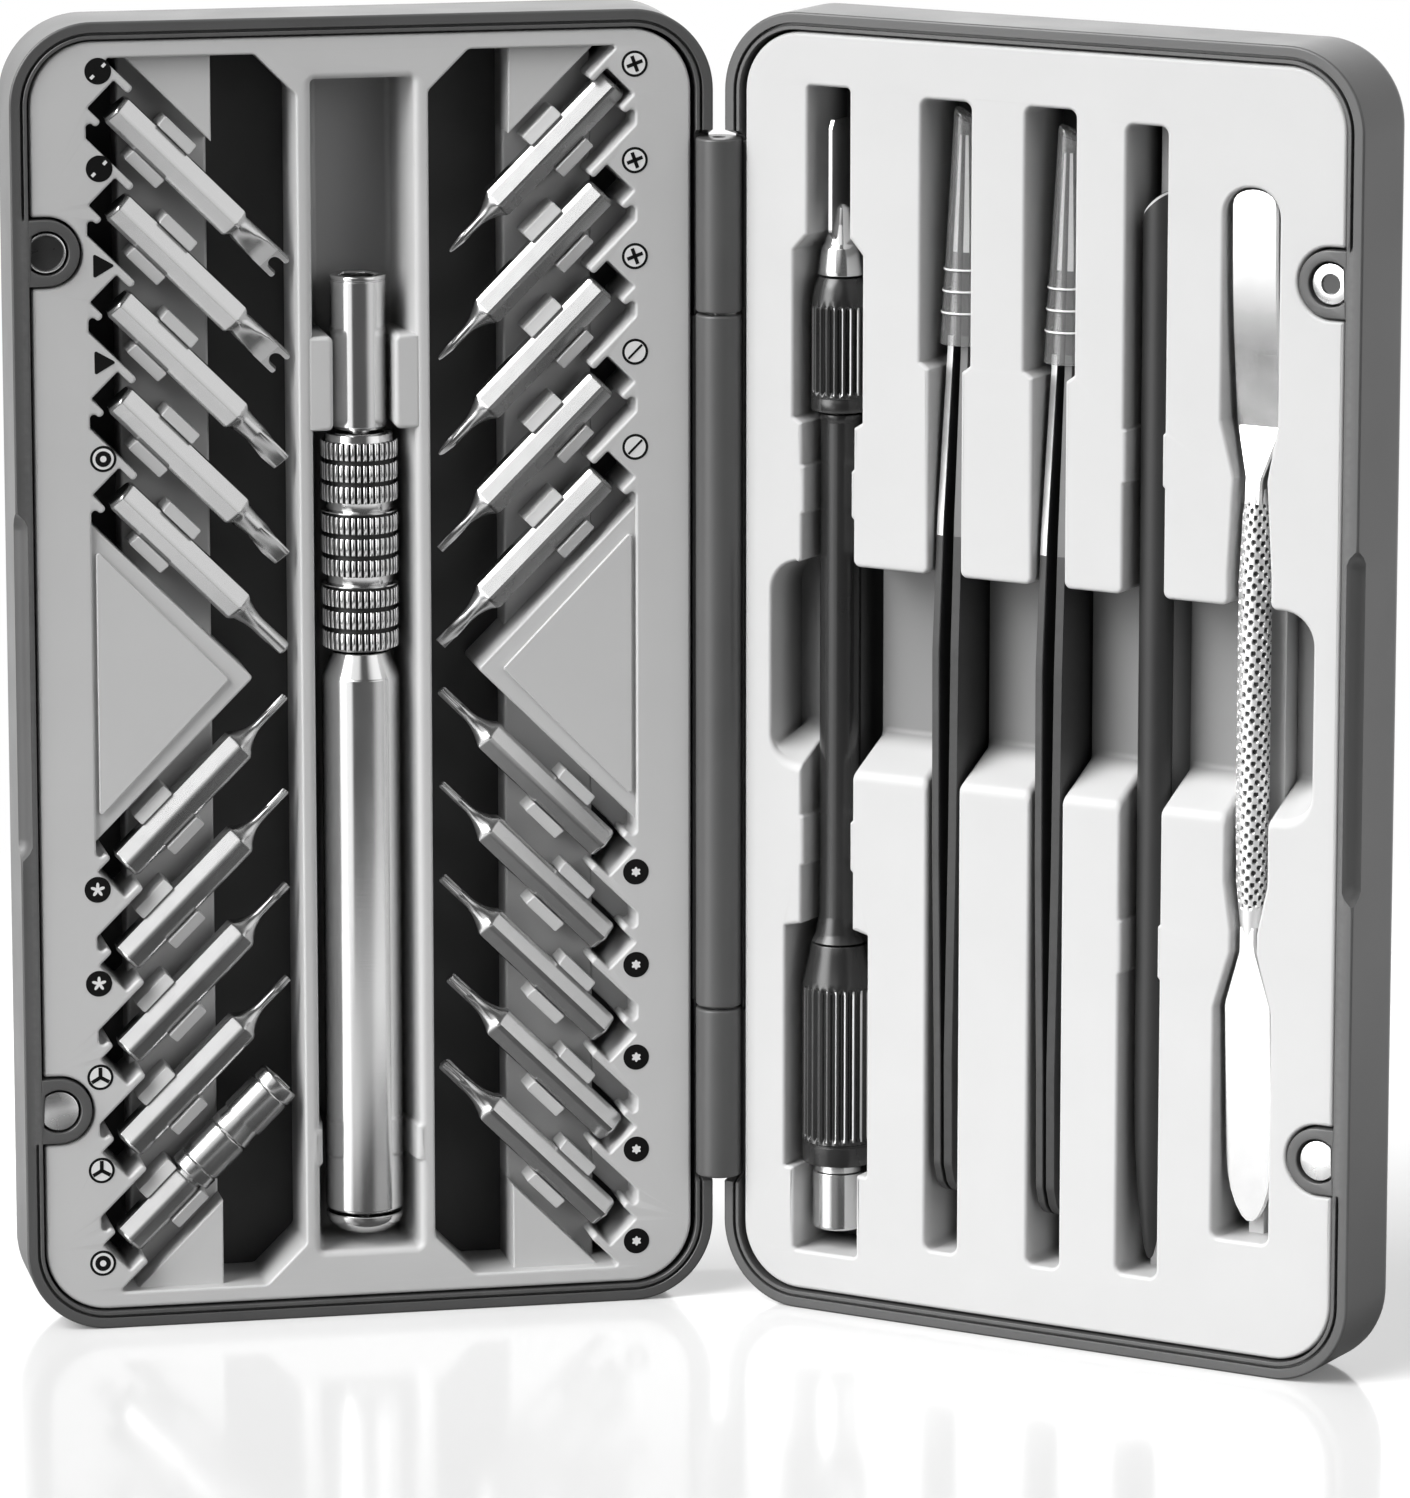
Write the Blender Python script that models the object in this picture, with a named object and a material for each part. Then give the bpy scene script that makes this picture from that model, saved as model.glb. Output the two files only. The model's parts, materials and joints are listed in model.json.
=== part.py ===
"""Precision screwdriver set in a hinged case that shuts on magnets.

Two moulded half shells open like a book on a vertical pin. The left tray holds a driver handle and
twenty bits, the right tray a collet knife, two tweezers, a spudger and a pry tool.

Each half is drawn in its own frame: x runs across the tray from the hinge axis (left half negative),
y goes back from the parting plane into the shell, and z is up from the foot of the case.
"""

import math

import bmesh
import bpy
import numpy as np
from mathutils import Matrix, Vector
from mathutils.geometry import delaunay_2d_cdt

MM = 0.001

# Case
CASE_HEIGHT = 160 * MM
HALF_REACH = 85.7 * MM
HALF_DEPTH = 12.9 * MM
HINGE_GAP = 0.65 * MM
RIM_DEPTH = 0.15 * MM
CORNER_RADIUS = 10 * MM
BACK_RADIUS = 2.5 * MM
WALL = 2.1 * MM
FLOOR = 1.2 * MM
LEFT_TURN = math.radians(12.1)
RIGHT_TURN = math.radians(29.2)
FIT = 0.3 * MM
MID = CASE_HEIGHT / 2

# Rim groove, magnet lugs and thumb scoop
GROOVE_INSET = 1.3 * MM
GROOVE_WIDTH = 0.35 * MM
GROOVE_DEPTH = 0.8 * MM
LUG_REACH = 81.5 * MM
LUG_RISE = 52.5 * MM
LUG_RADIUS = 4.0 * MM
MAGNET_RADIUS = 2.4 * MM
MAGNET_LENGTH = 2.0 * MM
MAGNET_SINK = 0.35 * MM
SCOOP_RADIUS = 2.35 * MM
SCOOP_LENGTH = 42.8 * MM

# Hinge
BARREL_RADIUS = 2.8 * MM
BARREL_HALF = 64.3 * MM
KNUCKLE_HALF = 43 * MM
PIN_RADIUS = 0.8 * MM

# Trays
TRAY_FRONT = 0.5 * MM
TRAY_BACK = HALF_DEPTH - FLOOR - FIT
TRAY_HINGE_EDGE = 3.35 * MM
TRAY_OUTER_EDGE = HALF_REACH - WALL - FIT
TRAY_CENTRE = (TRAY_HINGE_EDGE + TRAY_OUTER_EDGE) / 2

# Bit cells of the left tray, counted from the ends of the tray to its middle
CELLS = 5
CELL_PITCH = 11.65 * MM
CELL_RISE = 71.3 * MM
CELL_REACH = 31.4 * MM
BAY_EDGE = 33.2 * MM
BAY_RISE = 75.6 * MM
RIB_EDGE = 8.0 * MM
BAY_CHAMFER = 4.9 * MM
LEDGE_EDGE = 18.0 * MM
LEDGE_DEPTH = 6.6 * MM
PRONG_INNER = 2.3 * MM
PRONG_OUTER = 3.25 * MM
PRONG_TIP = 2.35 * MM
POST_START = 6.5 * MM
POST_END = 12.4 * MM
POST_OUTER = 3.35 * MM
POST_TOP = 1.4 * MM
CORNER_PLATFORM_DEPTH = 2.2 * MM
CORNER_PLATFORM_SIDE = 10.5 * MM
CHEVRON_DEPTH = 1.1 * MM
CHEVRON_FIELD_DEPTH = 0.7 * MM
CHEVRON_BORDER = 3.0 * MM

# Bits
BIT_FLATS = 4.0 * MM
BIT_LENGTH = 28.2 * MM
BIT_BODY = 20.4 * MM
BIT_DEPTH = 3.4 * MM
BIT_START = 2.7 * MM
BIT_SHAFT_RADIUS = 1.25 * MM
ADAPTER_LENGTH = 27.0 * MM
ADAPTER_RADIUS = 2.85 * MM
ADAPTER_SHANK = 10.6 * MM

# Driver handle, with heights from the foot of the case
DRIVER_DEPTH = 5.1 * MM
DRIVER_RADIUS = 4.65 * MM
CHUCK_RADIUS = 3.3 * MM
CHUCK_TOP = 128.3 * MM
CHUCK_FOOT = 109.6 * MM
GRIP_TOP = 109.2 * MM
GRIP_FOOT = 82.5 * MM
BARREL_TOP = 82.2 * MM
BARREL_FOOT = 12.5 * MM
CAP_TOP = 12.2 * MM
CAP_FOOT = 9.3 * MM
SOCKET_DEPTH = 12 * MM
SPIGOT_RADIUS = 1.6 * MM
CHANNEL_HALF = 6.2 * MM
CHANNEL_DEPTH = 10.2 * MM
CHANNEL_DRAFT = 1.2 * MM
CHANNEL_FOOT = 8.2 * MM
CHANNEL_HEAD = 152.4 * MM

# Tools of the right tray: reach from the hinge axis and depth of each axis
KNIFE_REACH = 14.2 * MM
KNIFE_DEPTH = 4.95 * MM
TWEEZER_REACHES = (30.7 * MM, 44.7 * MM)
TWEEZER_DEPTH = 5.4 * MM
SPUDGER_REACH = 57.4 * MM
SPUDGER_DEPTH = 4.9 * MM
PRY_REACH = 71.2 * MM
PRY_DEPTH = 2.7 * MM
DEEP_SLOT = 10.3 * MM
SPUDGER_SLOT = 7.6 * MM
PRY_SLOT = 5.2 * MM
TRENCH_DEPTH = 8.2 * MM

# Largest turn between two points of an arc, on wide and on tight corners
WIDE_STEP = math.radians(15)
TIGHT_STEP = math.radians(45)
TIGHT_RADIUS = 1.5 * MM
SMOOTH_ANGLE = math.radians(35)

# Colour, roughness and metallic value of each finish
SHELL = ((0.10, 0.10, 0.10), 0.45, 0.0)
TRAY = ((0.55, 0.55, 0.55), 0.5, 0.0)
STEEL = ((0.62, 0.62, 0.62), 0.3, 1.0)
ALLOY = ((0.72, 0.72, 0.73), 0.25, 1.0)
BLACK_STEEL = ((0.03, 0.03, 0.03), 0.4, 0.6)
BLACK_PLASTIC = ((0.03, 0.03, 0.03), 0.5, 0.0)
CLEAR = ((0.75, 0.75, 0.75), 0.15, 0.0)


# Plan outlines


def fillet(corners):
    """Round a closed outline: each corner is (x, z) or (x, z, radius)."""
    points = np.array([corner[:2] for corner in corners])
    radii = [corner[2] if len(corner) > 2 else 0.0 for corner in corners]
    outline = []
    for index, point in enumerate(points):
        if not radii[index]:
            outline.append(point)
            continue
        back = points[index - 1] - point
        ahead = points[(index + 1) % len(points)] - point
        back /= np.linalg.norm(back)
        ahead /= np.linalg.norm(ahead)
        half = math.acos(np.clip(back @ ahead, -1, 1)) / 2
        middle = back + ahead
        centre = point + middle / np.linalg.norm(middle) * radii[index] / math.sin(half)
        start = point + back * radii[index] / math.tan(half) - centre
        sweep = math.pi - 2 * half
        steps = max(1, math.ceil(sweep / (WIDE_STEP if radii[index] > TIGHT_RADIUS else TIGHT_STEP) - 0.01))
        turn = -math.copysign(sweep, back[0] * ahead[1] - back[1] * ahead[0]) / steps
        for step in range(steps + 1):
            c, s = math.cos(turn * step), math.sin(turn * step)
            outline.append(centre + (c * start[0] - s * start[1], s * start[0] + c * start[1]))
    return np.array(outline)


def box_outline(x0, x1, z0, z1, radius=0.0):
    """Rectangle with equally rounded corners."""
    return fillet([(x0, z0, radius), (x1, z0, radius), (x1, z1, radius), (x0, z1, radius)])


def circle_outline(x, z, radius, count=24):
    angles = np.arange(count) * 2 * math.pi / count
    return np.stack([x + radius * np.cos(angles), z + radius * np.sin(angles)], axis=1)


def counter_clockwise(outline):
    """Outline as an array whose points run counter-clockwise."""
    outline = np.asarray(outline)
    ahead = np.roll(outline, -1, axis=0)
    area = np.sum(outline[:, 0] * ahead[:, 1] - outline[:, 1] * ahead[:, 0])
    return outline if area > 0 else outline[::-1]


def mirrored(outline, side, centre=0.0):
    """Put an outline of (reach, rise) on one side of a centre line."""
    return np.array(outline)[:, :2] * (side, 1) + (centre, 0)


# Solids


def finish_mesh(name, bm):
    """Close a bmesh into a named object with its faces pointing out."""
    bmesh.ops.recalc_face_normals(bm, faces=bm.faces)
    mesh = bpy.data.meshes.new(name)
    bm.to_mesh(mesh)
    bm.free()
    mesh.shade_smooth()
    mesh.set_sharp_from_angle(angle=SMOOTH_ANGLE)
    solid = bpy.data.objects.new(name, mesh)
    bpy.context.collection.objects.link(solid)
    return solid


def terrace(name, outline, regions, front, back, back_rows=()):
    """Plate whose front steps back: each (outline, depth) region overrules those before it.

    A region at or past the back is a hole. The back is flat, or runs through the (outline, depth)
    rows, which have as many points as the plate's own outline.
    """
    loops = [counter_clockwise(loop) for loop in (outline, *(region for region, _ in regions))]
    depths = [front] + [depth for _, depth in regions]
    deepest = back_rows[-1][1] if back_rows else back
    starts = np.cumsum([0] + [len(loop) for loop in loops])
    rings = [list(range(a, b)) for a, b in zip(starts[:-1], starts[1:])]
    plan = [Vector(point) for point in np.concatenate(loops) / MM]
    points, _, triangles, _, _, owners = delaunay_2d_cdt(plan, [], rings, 1, 1e-6)
    solid = [(triangle, depths[max(owner)]) for triangle, owner in zip(triangles, owners)
             if 0 in owner and depths[max(owner)] < deepest]

    sides = {}
    stops = [set() for _ in points]
    for triangle, depth in solid:
        for k, start in enumerate(triangle):
            end = triangle[(k + 1) % 3]
            sides.setdefault((min(start, end), max(start, end)), []).append(depth)
            stops[start].add(depth)
    for edge, levels in sides.items():
        if len(levels) == 1:
            levels.append(back)
            for index in edge:
                stops[index].add(back)

    bm = bmesh.new()
    made = {}

    def vertex(index, depth):
        if (index, depth) not in made:
            x, z = points[index] * MM
            made[index, depth] = bm.verts.new((x, depth, z))
        return made[index, depth]

    for triangle, depth in solid:
        bm.faces.new([vertex(i, depth) for i in triangle])
        if not back_rows:
            bm.faces.new([vertex(i, back) for i in reversed(triangle)])
    for (start, end), levels in sides.items():
        near, far = sorted(levels)
        if near < far:
            going = sorted(stop for stop in stops[start] if near <= stop <= far)
            coming = sorted((stop for stop in stops[end] if near <= stop <= far), reverse=True)
            bm.faces.new([vertex(start, stop) for stop in going] + [vertex(end, stop) for stop in coming])
    if back_rows:
        edge = {index: made[index, back] for index in range(len(points)) if (index, back) in made}
        ring = [edge[min(edge, key=lambda index: (points[index] - Vector(corner)).length)]
                for corner in np.asarray(outline) / MM]
        close_back(bm, ring, back_rows)
    return finish_mesh(name, bm)


def close_back(bm, ring, rows):
    """Carry the back edge of a plate through the rows and cap the last one."""
    for outline, depth in rows:
        following = [bm.verts.new((x, depth, z)) for x, z in outline]
        bridge(bm, ring, following)
        ring = following
    bm.faces.new(ring)


def bridge(bm, ring, following):
    for k in range(len(ring)):
        ahead = (k + 1) % len(ring)
        bm.faces.new((ring[k], ring[ahead], following[ahead], following[k]))


def loft(name, rings, closed=False):
    """Skin a solid over rings of equal count, with flat ends or closed on itself."""
    bm = bmesh.new()
    loops = [[bm.verts.new(point) for point in ring] for ring in rings]
    for ring, following in zip(loops, loops[1:] + loops[:1] if closed else loops[1:]):
        bridge(bm, ring, following)
    if not closed:
        bm.faces.new(loops[0])
        bm.faces.new(loops[-1])
    return finish_mesh(name, bm)


def ring_at(section, z):
    """Lift a flat section of (x, y) points to a height."""
    return [(x, y, z) for x, y in section]


def circle(radius, count=24):
    return circle_outline(0, 0, radius, count)


def turned(name, profile, count=24):
    """Turn a profile of (radius, z) round the z axis; flat ends."""
    return loft(name, [ring_at(circle(radius, count), z) for radius, z in profile])


def hexagon(flats, count=12):
    """Hexagon with corners on +y and -y, sampled along its sides."""
    angles = np.arange(count) * 2 * math.pi / count
    swing = angles % (math.pi / 3) - math.pi / 6
    radius = flats / 2 / np.cos(math.pi / 6 - np.abs(swing))
    return np.stack([radius * np.cos(angles), radius * np.sin(angles)], axis=1)


def ribbed(radius, depth, ribs):
    """Fluted section: two points on each rib and two in each flute."""
    angles = np.repeat(np.arange(2 * ribs), 2) * math.pi / ribs
    angles = angles + np.tile([-0.3, 0.3], 2 * ribs) * math.pi / ribs
    radii = radius - depth * (np.arange(4 * ribs) // 2 % 2)
    return np.stack([radii * np.cos(angles), radii * np.sin(angles)], axis=1)


def rectangle(width, thickness):
    """Flat section on twelve points, the long side along x."""
    x, y = width / 2, thickness / 2
    half = [(x, 0), (x, y), (x / 2, y), (0, y), (-x / 2, y), (-x, y)]
    return np.array(half + [(-a, -b) for a, b in half])


def cross(radius, wing):
    """Four-winged section on twelve points."""
    quarter = [(radius, -wing / 2), (radius, wing / 2), (wing * 0.6, wing * 0.6)]
    turns = [(1, 0), (0, 1), (-1, 0), (0, -1)]
    return np.array([(c * x - s * y, s * x + c * y) for c, s in turns for x, y in quarter])


def tri_wing(radius, wing):
    """Three-winged section on twelve points."""
    third = [(radius, -wing / 2), (radius, wing / 2)]
    third += [(wing * 0.6 * math.cos(a), wing * 0.6 * math.sin(a)) for a in (math.radians(40), math.radians(80))]
    turns = [(math.cos(a), math.sin(a)) for a in np.arange(3) * 2 * math.pi / 3]
    return np.array([(c * x - s * y, s * x + c * y) for c, s in turns for x, y in third])


def triangle(radius):
    """Three-sided section on twelve points."""
    corners = circle(radius, 3)
    return np.concatenate([a + np.linspace(0, 1, 4, endpoint=False)[:, None] * (b - a)
                           for a, b in zip(corners, np.roll(corners, -1, axis=0))])


def lobes(radius, root):
    """Six-lobed section on twelve points."""
    return circle(1, 12) * np.tile([[radius], [root]], (6, 1))


def modify(target, tool, operation):
    """Join a tool solid to a target or cut it out, and hide the tool."""
    boolean = target.modifiers.new(tool.name, "BOOLEAN")
    boolean.operation = operation
    boolean.solver = "EXACT"
    boolean.object = tool
    tool.hide_render = True
    tool.display_type = "WIRE"
    tool.parent = target.parent


def place(solid, parent, finish, matrix=None):
    """Hang a solid on an empty and give it its own material."""
    solid.parent = parent
    if matrix is not None:
        solid.matrix_local = matrix
    colour, roughness, metallic = finish
    material = bpy.data.materials.new(solid.name + "_finish")
    material.use_nodes = True
    shader = material.node_tree.nodes["Principled BSDF"]
    shader.inputs["Base Color"].default_value = (*colour, 1)
    shader.inputs["Roughness"].default_value = roughness
    shader.inputs["Metallic"].default_value = metallic
    solid.data.materials.append(material)
    return solid


def empty(name, parent=None):
    holder = bpy.data.objects.new(name, None)
    bpy.context.collection.objects.link(holder)
    holder.parent = parent
    return holder


# Case


def shell_outline(side, inset, radius):
    """Outside of a half shell drawn in by an inset."""
    corners = box_outline(HINGE_GAP + inset, HALF_REACH - inset, inset, CASE_HEIGHT - inset, radius)
    return mirrored(corners, side)


def groove_outline(side, up):
    """Groove in the rim, from the lug round the end of the shell to the hinge barrel."""
    def path(inset):
        radius = CORNER_RADIUS - inset
        outer, inner, end = HALF_REACH - inset, HINGE_GAP + inset, MID - inset
        foot = LUG_RISE + LUG_RADIUS + FIT
        return [(outer, foot), (outer, end, radius), (inner, end, radius), (inner, BARREL_HALF + FIT)]

    corners = path(GROOVE_INSET) + path(GROOVE_INSET + GROOVE_WIDTH)[::-1]
    return mirrored(fillet(corners), side) * (1, up) + (0, MID)


def lug_outline(side, z, radius, reach):
    """Rounded lug that grows in from the outer wall."""
    arc = circle_outline(LUG_REACH, z, radius)[6:19]
    return mirrored([(reach, z + radius), *arc, (reach, z - radius)], side)


def knuckles(name, spans, radius):
    """Hinge cylinders round the axis, one over each span of heights."""
    tools = [turned(name, [(radius, low), (radius, high)], 20) for low, high in spans]
    for extra in tools[1:]:
        bm = bmesh.new()
        bm.from_mesh(tools[0].data)
        bm.from_mesh(extra.data)
        bm.to_mesh(tools[0].data)
        bm.free()
        bpy.data.objects.remove(extra)
    return tools[0]


def shell(side, name, parent, own, other):
    """Half shell with its rim groove, magnet lugs, knuckles and thumb scoop."""
    regions = [(shell_outline(side, WALL, CORNER_RADIUS - WALL), HALF_DEPTH - FLOOR)]
    regions += [(groove_outline(side, up), RIM_DEPTH + GROOVE_DEPTH) for up in (-1, 1)]
    for up in (-1, 1):
        z = MID + up * LUG_RISE
        regions.append((lug_outline(side, z, LUG_RADIUS, HALF_REACH - WALL / 2), RIM_DEPTH))
        bore = circle_outline(side * LUG_REACH, z, MAGNET_RADIUS + FIT)
        regions.append((bore, RIM_DEPTH + MAGNET_SINK + MAGNET_LENGTH + FIT))
    rows = []
    for turn in np.radians([30, 60, 90]):
        inset = BACK_RADIUS * (1 - math.cos(turn))
        depth = HALF_DEPTH - BACK_RADIUS * (1 - math.sin(turn))
        rows.append((shell_outline(side, inset, CORNER_RADIUS - inset), depth))
    outline = shell_outline(side, 0, CORNER_RADIUS)
    body = terrace(name, outline, regions, RIM_DEPTH, HALF_DEPTH - BACK_RADIUS, rows)
    place(body, parent, SHELL)
    ends = [(low - FIT, high + FIT) for low, high in other]
    modify(body, knuckles(name + "_clearance", ends, BARREL_RADIUS + FIT), "DIFFERENCE")
    modify(body, knuckles(name + "_knuckles", own, BARREL_RADIUS), "UNION")
    bore = [(MID - BARREL_HALF - FIT, MID + BARREL_HALF + FIT)]
    modify(body, knuckles(name + "_pin_bore", bore, PIN_RADIUS + FIT), "DIFFERENCE")
    modify(body, scoop(side, name + "_scoop"), "DIFFERENCE")
    return body


def scoop(side, name):
    """Round-ended hollow along the outer rim for a thumb."""
    profile = []
    for turn in np.radians([-80, -50, -20, 20, 50, 80]):
        rise = math.copysign(SCOOP_LENGTH / 2 - SCOOP_RADIUS, turn)
        profile.append((SCOOP_RADIUS * math.cos(turn), MID + rise + SCOOP_RADIUS * math.sin(turn)))
    tool = turned(name, profile, 20)
    tool.data.transform(Matrix.Translation((side * (HALF_REACH + 0.9 * MM), RIM_DEPTH, 0)))
    return tool


def magnets(side, prefix, parent):
    for label, up in (("upper", 1), ("lower", -1)):
        front = RIM_DEPTH + MAGNET_SINK
        chamfer = 0.25 * MM
        profile = [(MAGNET_RADIUS - chamfer, 0), (MAGNET_RADIUS, chamfer)]
        profile += [(MAGNET_RADIUS, MAGNET_LENGTH - chamfer), (MAGNET_RADIUS - chamfer, MAGNET_LENGTH)]
        disc = turned(f"{prefix}_magnet_{label}", profile)
        spot = Matrix.Translation((side * LUG_REACH, front, MID + up * LUG_RISE))
        place(disc, parent, STEEL, spot @ Matrix.Rotation(-math.pi / 2, 4, "X"))


def tray_outline(side):
    margin = WALL + FIT
    radius = CORNER_RADIUS - margin
    corners = box_outline(TRAY_HINGE_EDGE, TRAY_OUTER_EDGE, margin, CASE_HEIGHT - margin, radius)
    return mirrored(corners, side)


def lug_recesses(side):
    """Holes in a tray where the magnet lugs of its shell stand."""
    return [(lug_outline(side, MID + up * LUG_RISE, LUG_RADIUS + FIT, HALF_REACH), HALF_DEPTH)
            for up in (-1, 1)]


# Left tray: a quarter is drawn as (reach, rise) from the tray's centre and then mirrored


def cell_point(cell, along, across):
    """Point of a bit cell: along its slanting axis from the notch, and across it."""
    slant = math.sqrt(0.5)
    reach = CELL_REACH - (along + across) * slant
    rise = CELL_RISE - cell * CELL_PITCH + (across - along) * slant
    return reach, rise


def bay_edge():
    """Toothed outer edge of a bit bay from its end to the point of the chevron."""
    diagonal = math.sqrt(2)
    step = BAY_EDGE - CELL_REACH
    corners = [(CELL_REACH - PRONG_OUTER * diagonal + BAY_RISE - CELL_RISE, BAY_RISE)]
    tip = 0.4 * MM
    for cell in range(CELLS):
        rise = CELL_RISE - cell * CELL_PITCH
        corners += [
            (*cell_point(cell, PRONG_TIP, PRONG_OUTER), tip),
            (*cell_point(cell, PRONG_TIP, PRONG_INNER), tip),
            cell_point(cell, 0, PRONG_INNER),
            cell_point(cell, 0, -PRONG_INNER),
            (*cell_point(cell, PRONG_TIP, -PRONG_INNER), tip),
            (*cell_point(cell, PRONG_TIP, -PRONG_OUTER), tip),
            (BAY_EDGE, rise - PRONG_OUTER * diagonal + step),
            (BAY_EDGE, rise - CELL_PITCH + PRONG_OUTER * diagonal + step),
        ]
    return corners


def chevron_rise():
    """Half height of the chevron where it meets the bay's outer edge."""
    return bay_edge()[-1][1]


def bay_outline():
    upper = bay_edge()
    lower = [(corner[0], -corner[1], *corner[2:]) for corner in reversed(upper)]
    inner = [(RIB_EDGE + BAY_CHAMFER, BAY_RISE), (RIB_EDGE, BAY_RISE - BAY_CHAMFER)]
    point = (BAY_EDGE - chevron_rise(), 0)
    back = [(x, -z) for x, z in inner]
    return fillet(upper + [point] + lower + back + inner[::-1])


def left_regions():
    """Every step of the left tray's bit bays."""
    rise = chevron_rise()
    chevron = [(BAY_EDGE, rise), (BAY_EDGE - rise, 0), (BAY_EDGE, -rise)]
    border = CHEVRON_BORDER
    field = [(BAY_EDGE - FIT, rise - border), (BAY_EDGE - rise + border, 0), (BAY_EDGE - FIT, border - rise)]
    chamfer = RIB_EDGE + BAY_CHAMFER
    trough = [(RIB_EDGE, BAY_RISE - BAY_CHAMFER), (chamfer, BAY_RISE), (LEDGE_EDGE, BAY_RISE)]
    trough += [(x, -z) for x, z in reversed(trough)]
    regions = []
    for side in (-1, 1):
        regions += [(side, bay_outline(), LEDGE_DEPTH), (side, trough, HALF_DEPTH)]
        regions += [(side, chevron, CHEVRON_DEPTH), (side, field, CHEVRON_FIELD_DEPTH)]
        for up in (-1, 1):
            end = BAY_RISE * up
            slope = end - up * CORNER_PLATFORM_SIDE
            platform = [(LEDGE_EDGE, end), (LEDGE_EDGE + CORNER_PLATFORM_SIDE, end), (LEDGE_EDGE, slope)]
            regions.append((side, platform, CORNER_PLATFORM_DEPTH))
            for cell in range(CELLS):
                regions += [(side, post_outline(cell, up, hand), POST_TOP) for hand in (-1, 1)]
    regions = [(mirrored(outline, side, -TRAY_CENTRE) + (0, MID), depth) for side, outline, depth in regions]
    return regions + lug_recesses(-1)


def post_outline(cell, up, hand):
    """Spring post beside a bit, on one hand of it."""
    inner, outer = hand * PRONG_INNER, hand * POST_OUTER
    corners = [(POST_START, inner), (POST_END, inner), (POST_END, outer), (POST_START, outer)]
    return [(reach, up * rise) for reach, rise in (cell_point(cell, *corner) for corner in corners)]


def channel(name):
    """Driver channel: open head, shoulders at the chuck, grip length and two nubs at its foot."""
    neck = CHUCK_RADIUS + 1.5 * FIT
    rings = []
    for depth, draft in ((-FIT, 0.0), (TRAY_FRONT, 0.0), (CHANNEL_DEPTH, CHANNEL_DRAFT)):
        half = CHANNEL_HALF - draft
        nub = half - 0.4 * MM
        low, high = CHANNEL_FOOT + draft / 2, CHANNEL_HEAD - draft / 2
        steps = [(half, low), (half, 18.8 * MM), (nub, 19.2 * MM), (nub, 23.4 * MM), (half, 23.8 * MM)]
        steps += [(half, 109.9 * MM), (neck, 109.9 * MM), (neck, 121.4 * MM), (half, 121.4 * MM), (half, high)]
        right = [(reach, height, 0.4 * MM) for reach, height in steps]
        left = [(-reach, height, radius) for reach, height, radius in reversed(right)]
        rings.append([(x - TRAY_CENTRE, depth, z) for x, z in fillet(right + left)])
    return loft(name, rings)


# Right tray


def slot_outline(reach, steps, foot, head):
    """Tool slot from (left, right, height) steps, with the corner radii of its foot and head."""
    step_radius = 0.12 * MM
    radii = [foot] + [step_radius] * (len(steps) - 2) + [head]
    right = [(x1 * MM, z * MM, radius) for (_, x1, z), radius in zip(steps, radii)]
    left = [(x0 * MM, z * MM, radius) for (x0, _, z), radius in zip(steps, radii)][::-1]
    return fillet([(reach + x, z, r) for x, z, r in right + left])


def nub_steps(left, right, nub, spans):
    """Steps of a slot that draws in by a nub over each span of heights."""
    steps = []
    for low, high in spans:
        inner = (left + nub, right - nub)
        steps += [(left, right, low), (*inner, low + nub), (*inner, high - nub), (left, right, high)]
    return steps


def right_regions():
    """The five tool slots, each as wide steps round its own tool."""
    centre = 14.8 * MM
    knife = [(-4.5, 4.2, 7.3), (-4.5, 4.2, 17.7), (-5.8, 5.6, 17.7), (-5.8, 5.6, 47.9), (-3.6, 3.5, 48.4)]
    knife += nub_steps(-3.6, 3.5, 0.35, [(55.5, 62), (99, 105.2)])
    knife += [(-3.6, 3.5, 110.2), (-4.8, 4.6, 110.9), (-4.8, 4.6, 131.2), (-2.9, 2.8, 133.2)]
    knife += [(-2.9, 2.8, 151.2)]
    tweezer = [(-2.15, 2.2, 9.6), (-2.15, 2.2, 118.2), (-3.4, 3.3, 119), (-3.4, 3.3, 150.6)]
    spudger = [(-2.7, 2.7, 10.2), *nub_steps(-2.7, 2.7, 0.3, [(47, 53.8), (106.5, 113.2)]), (-2.7, 2.7, 149.4)]
    blades = [(-3.75, 3.7, 16.3), (-3.75, 3.7, 44.5), (-1.6, 1.7, 51.5), (-1.6, 1.7, 54)]
    blades += [(-2.5, 3.0, 60), (-2.5, 3.0, 97), (-1.9, 2.3, 108.5), (-3.7, 3.6, 115.2), (-3.7, 3.6, 143)]
    tight, wide, round_head = 0.5 * MM, 1.0 * MM, 3.4 * MM
    regions = [(slot_outline(centre, knife, tight, tight), DEEP_SLOT)]
    regions += [(slot_outline(reach, tweezer, wide, wide), DEEP_SLOT) for reach in TWEEZER_REACHES]
    regions.append((slot_outline(SPUDGER_REACH, spudger, wide, wide), SPUDGER_SLOT))
    regions.append((slot_outline(PRY_REACH, blades, wide, round_head), PRY_SLOT))
    return regions + lug_recesses(1)


def trench(name):
    """Thumb trench across the slots, with rounded ends and a sloping lower side."""
    low, high, left, right = 66.6 * MM, 93.3 * MM, 7 * MM, 79.9 * MM
    run, draft = 5.2 * MM, 0.5 * MM
    rings = []
    for share in (-0.15, 0, 0.35, 0.75, 0.93, 1):
        down = max(share, 0)
        foot = low + run * down ** 1.25
        inset = draft * down
        outline = box_outline(left + inset, right - inset, foot, high - inset, 4.2 * MM)
        rings.append([(x, TRAY_FRONT + share * (TRENCH_DEPTH - TRAY_FRONT), z) for x, z in outline])
    return loft(name, rings)


# Bits


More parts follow.
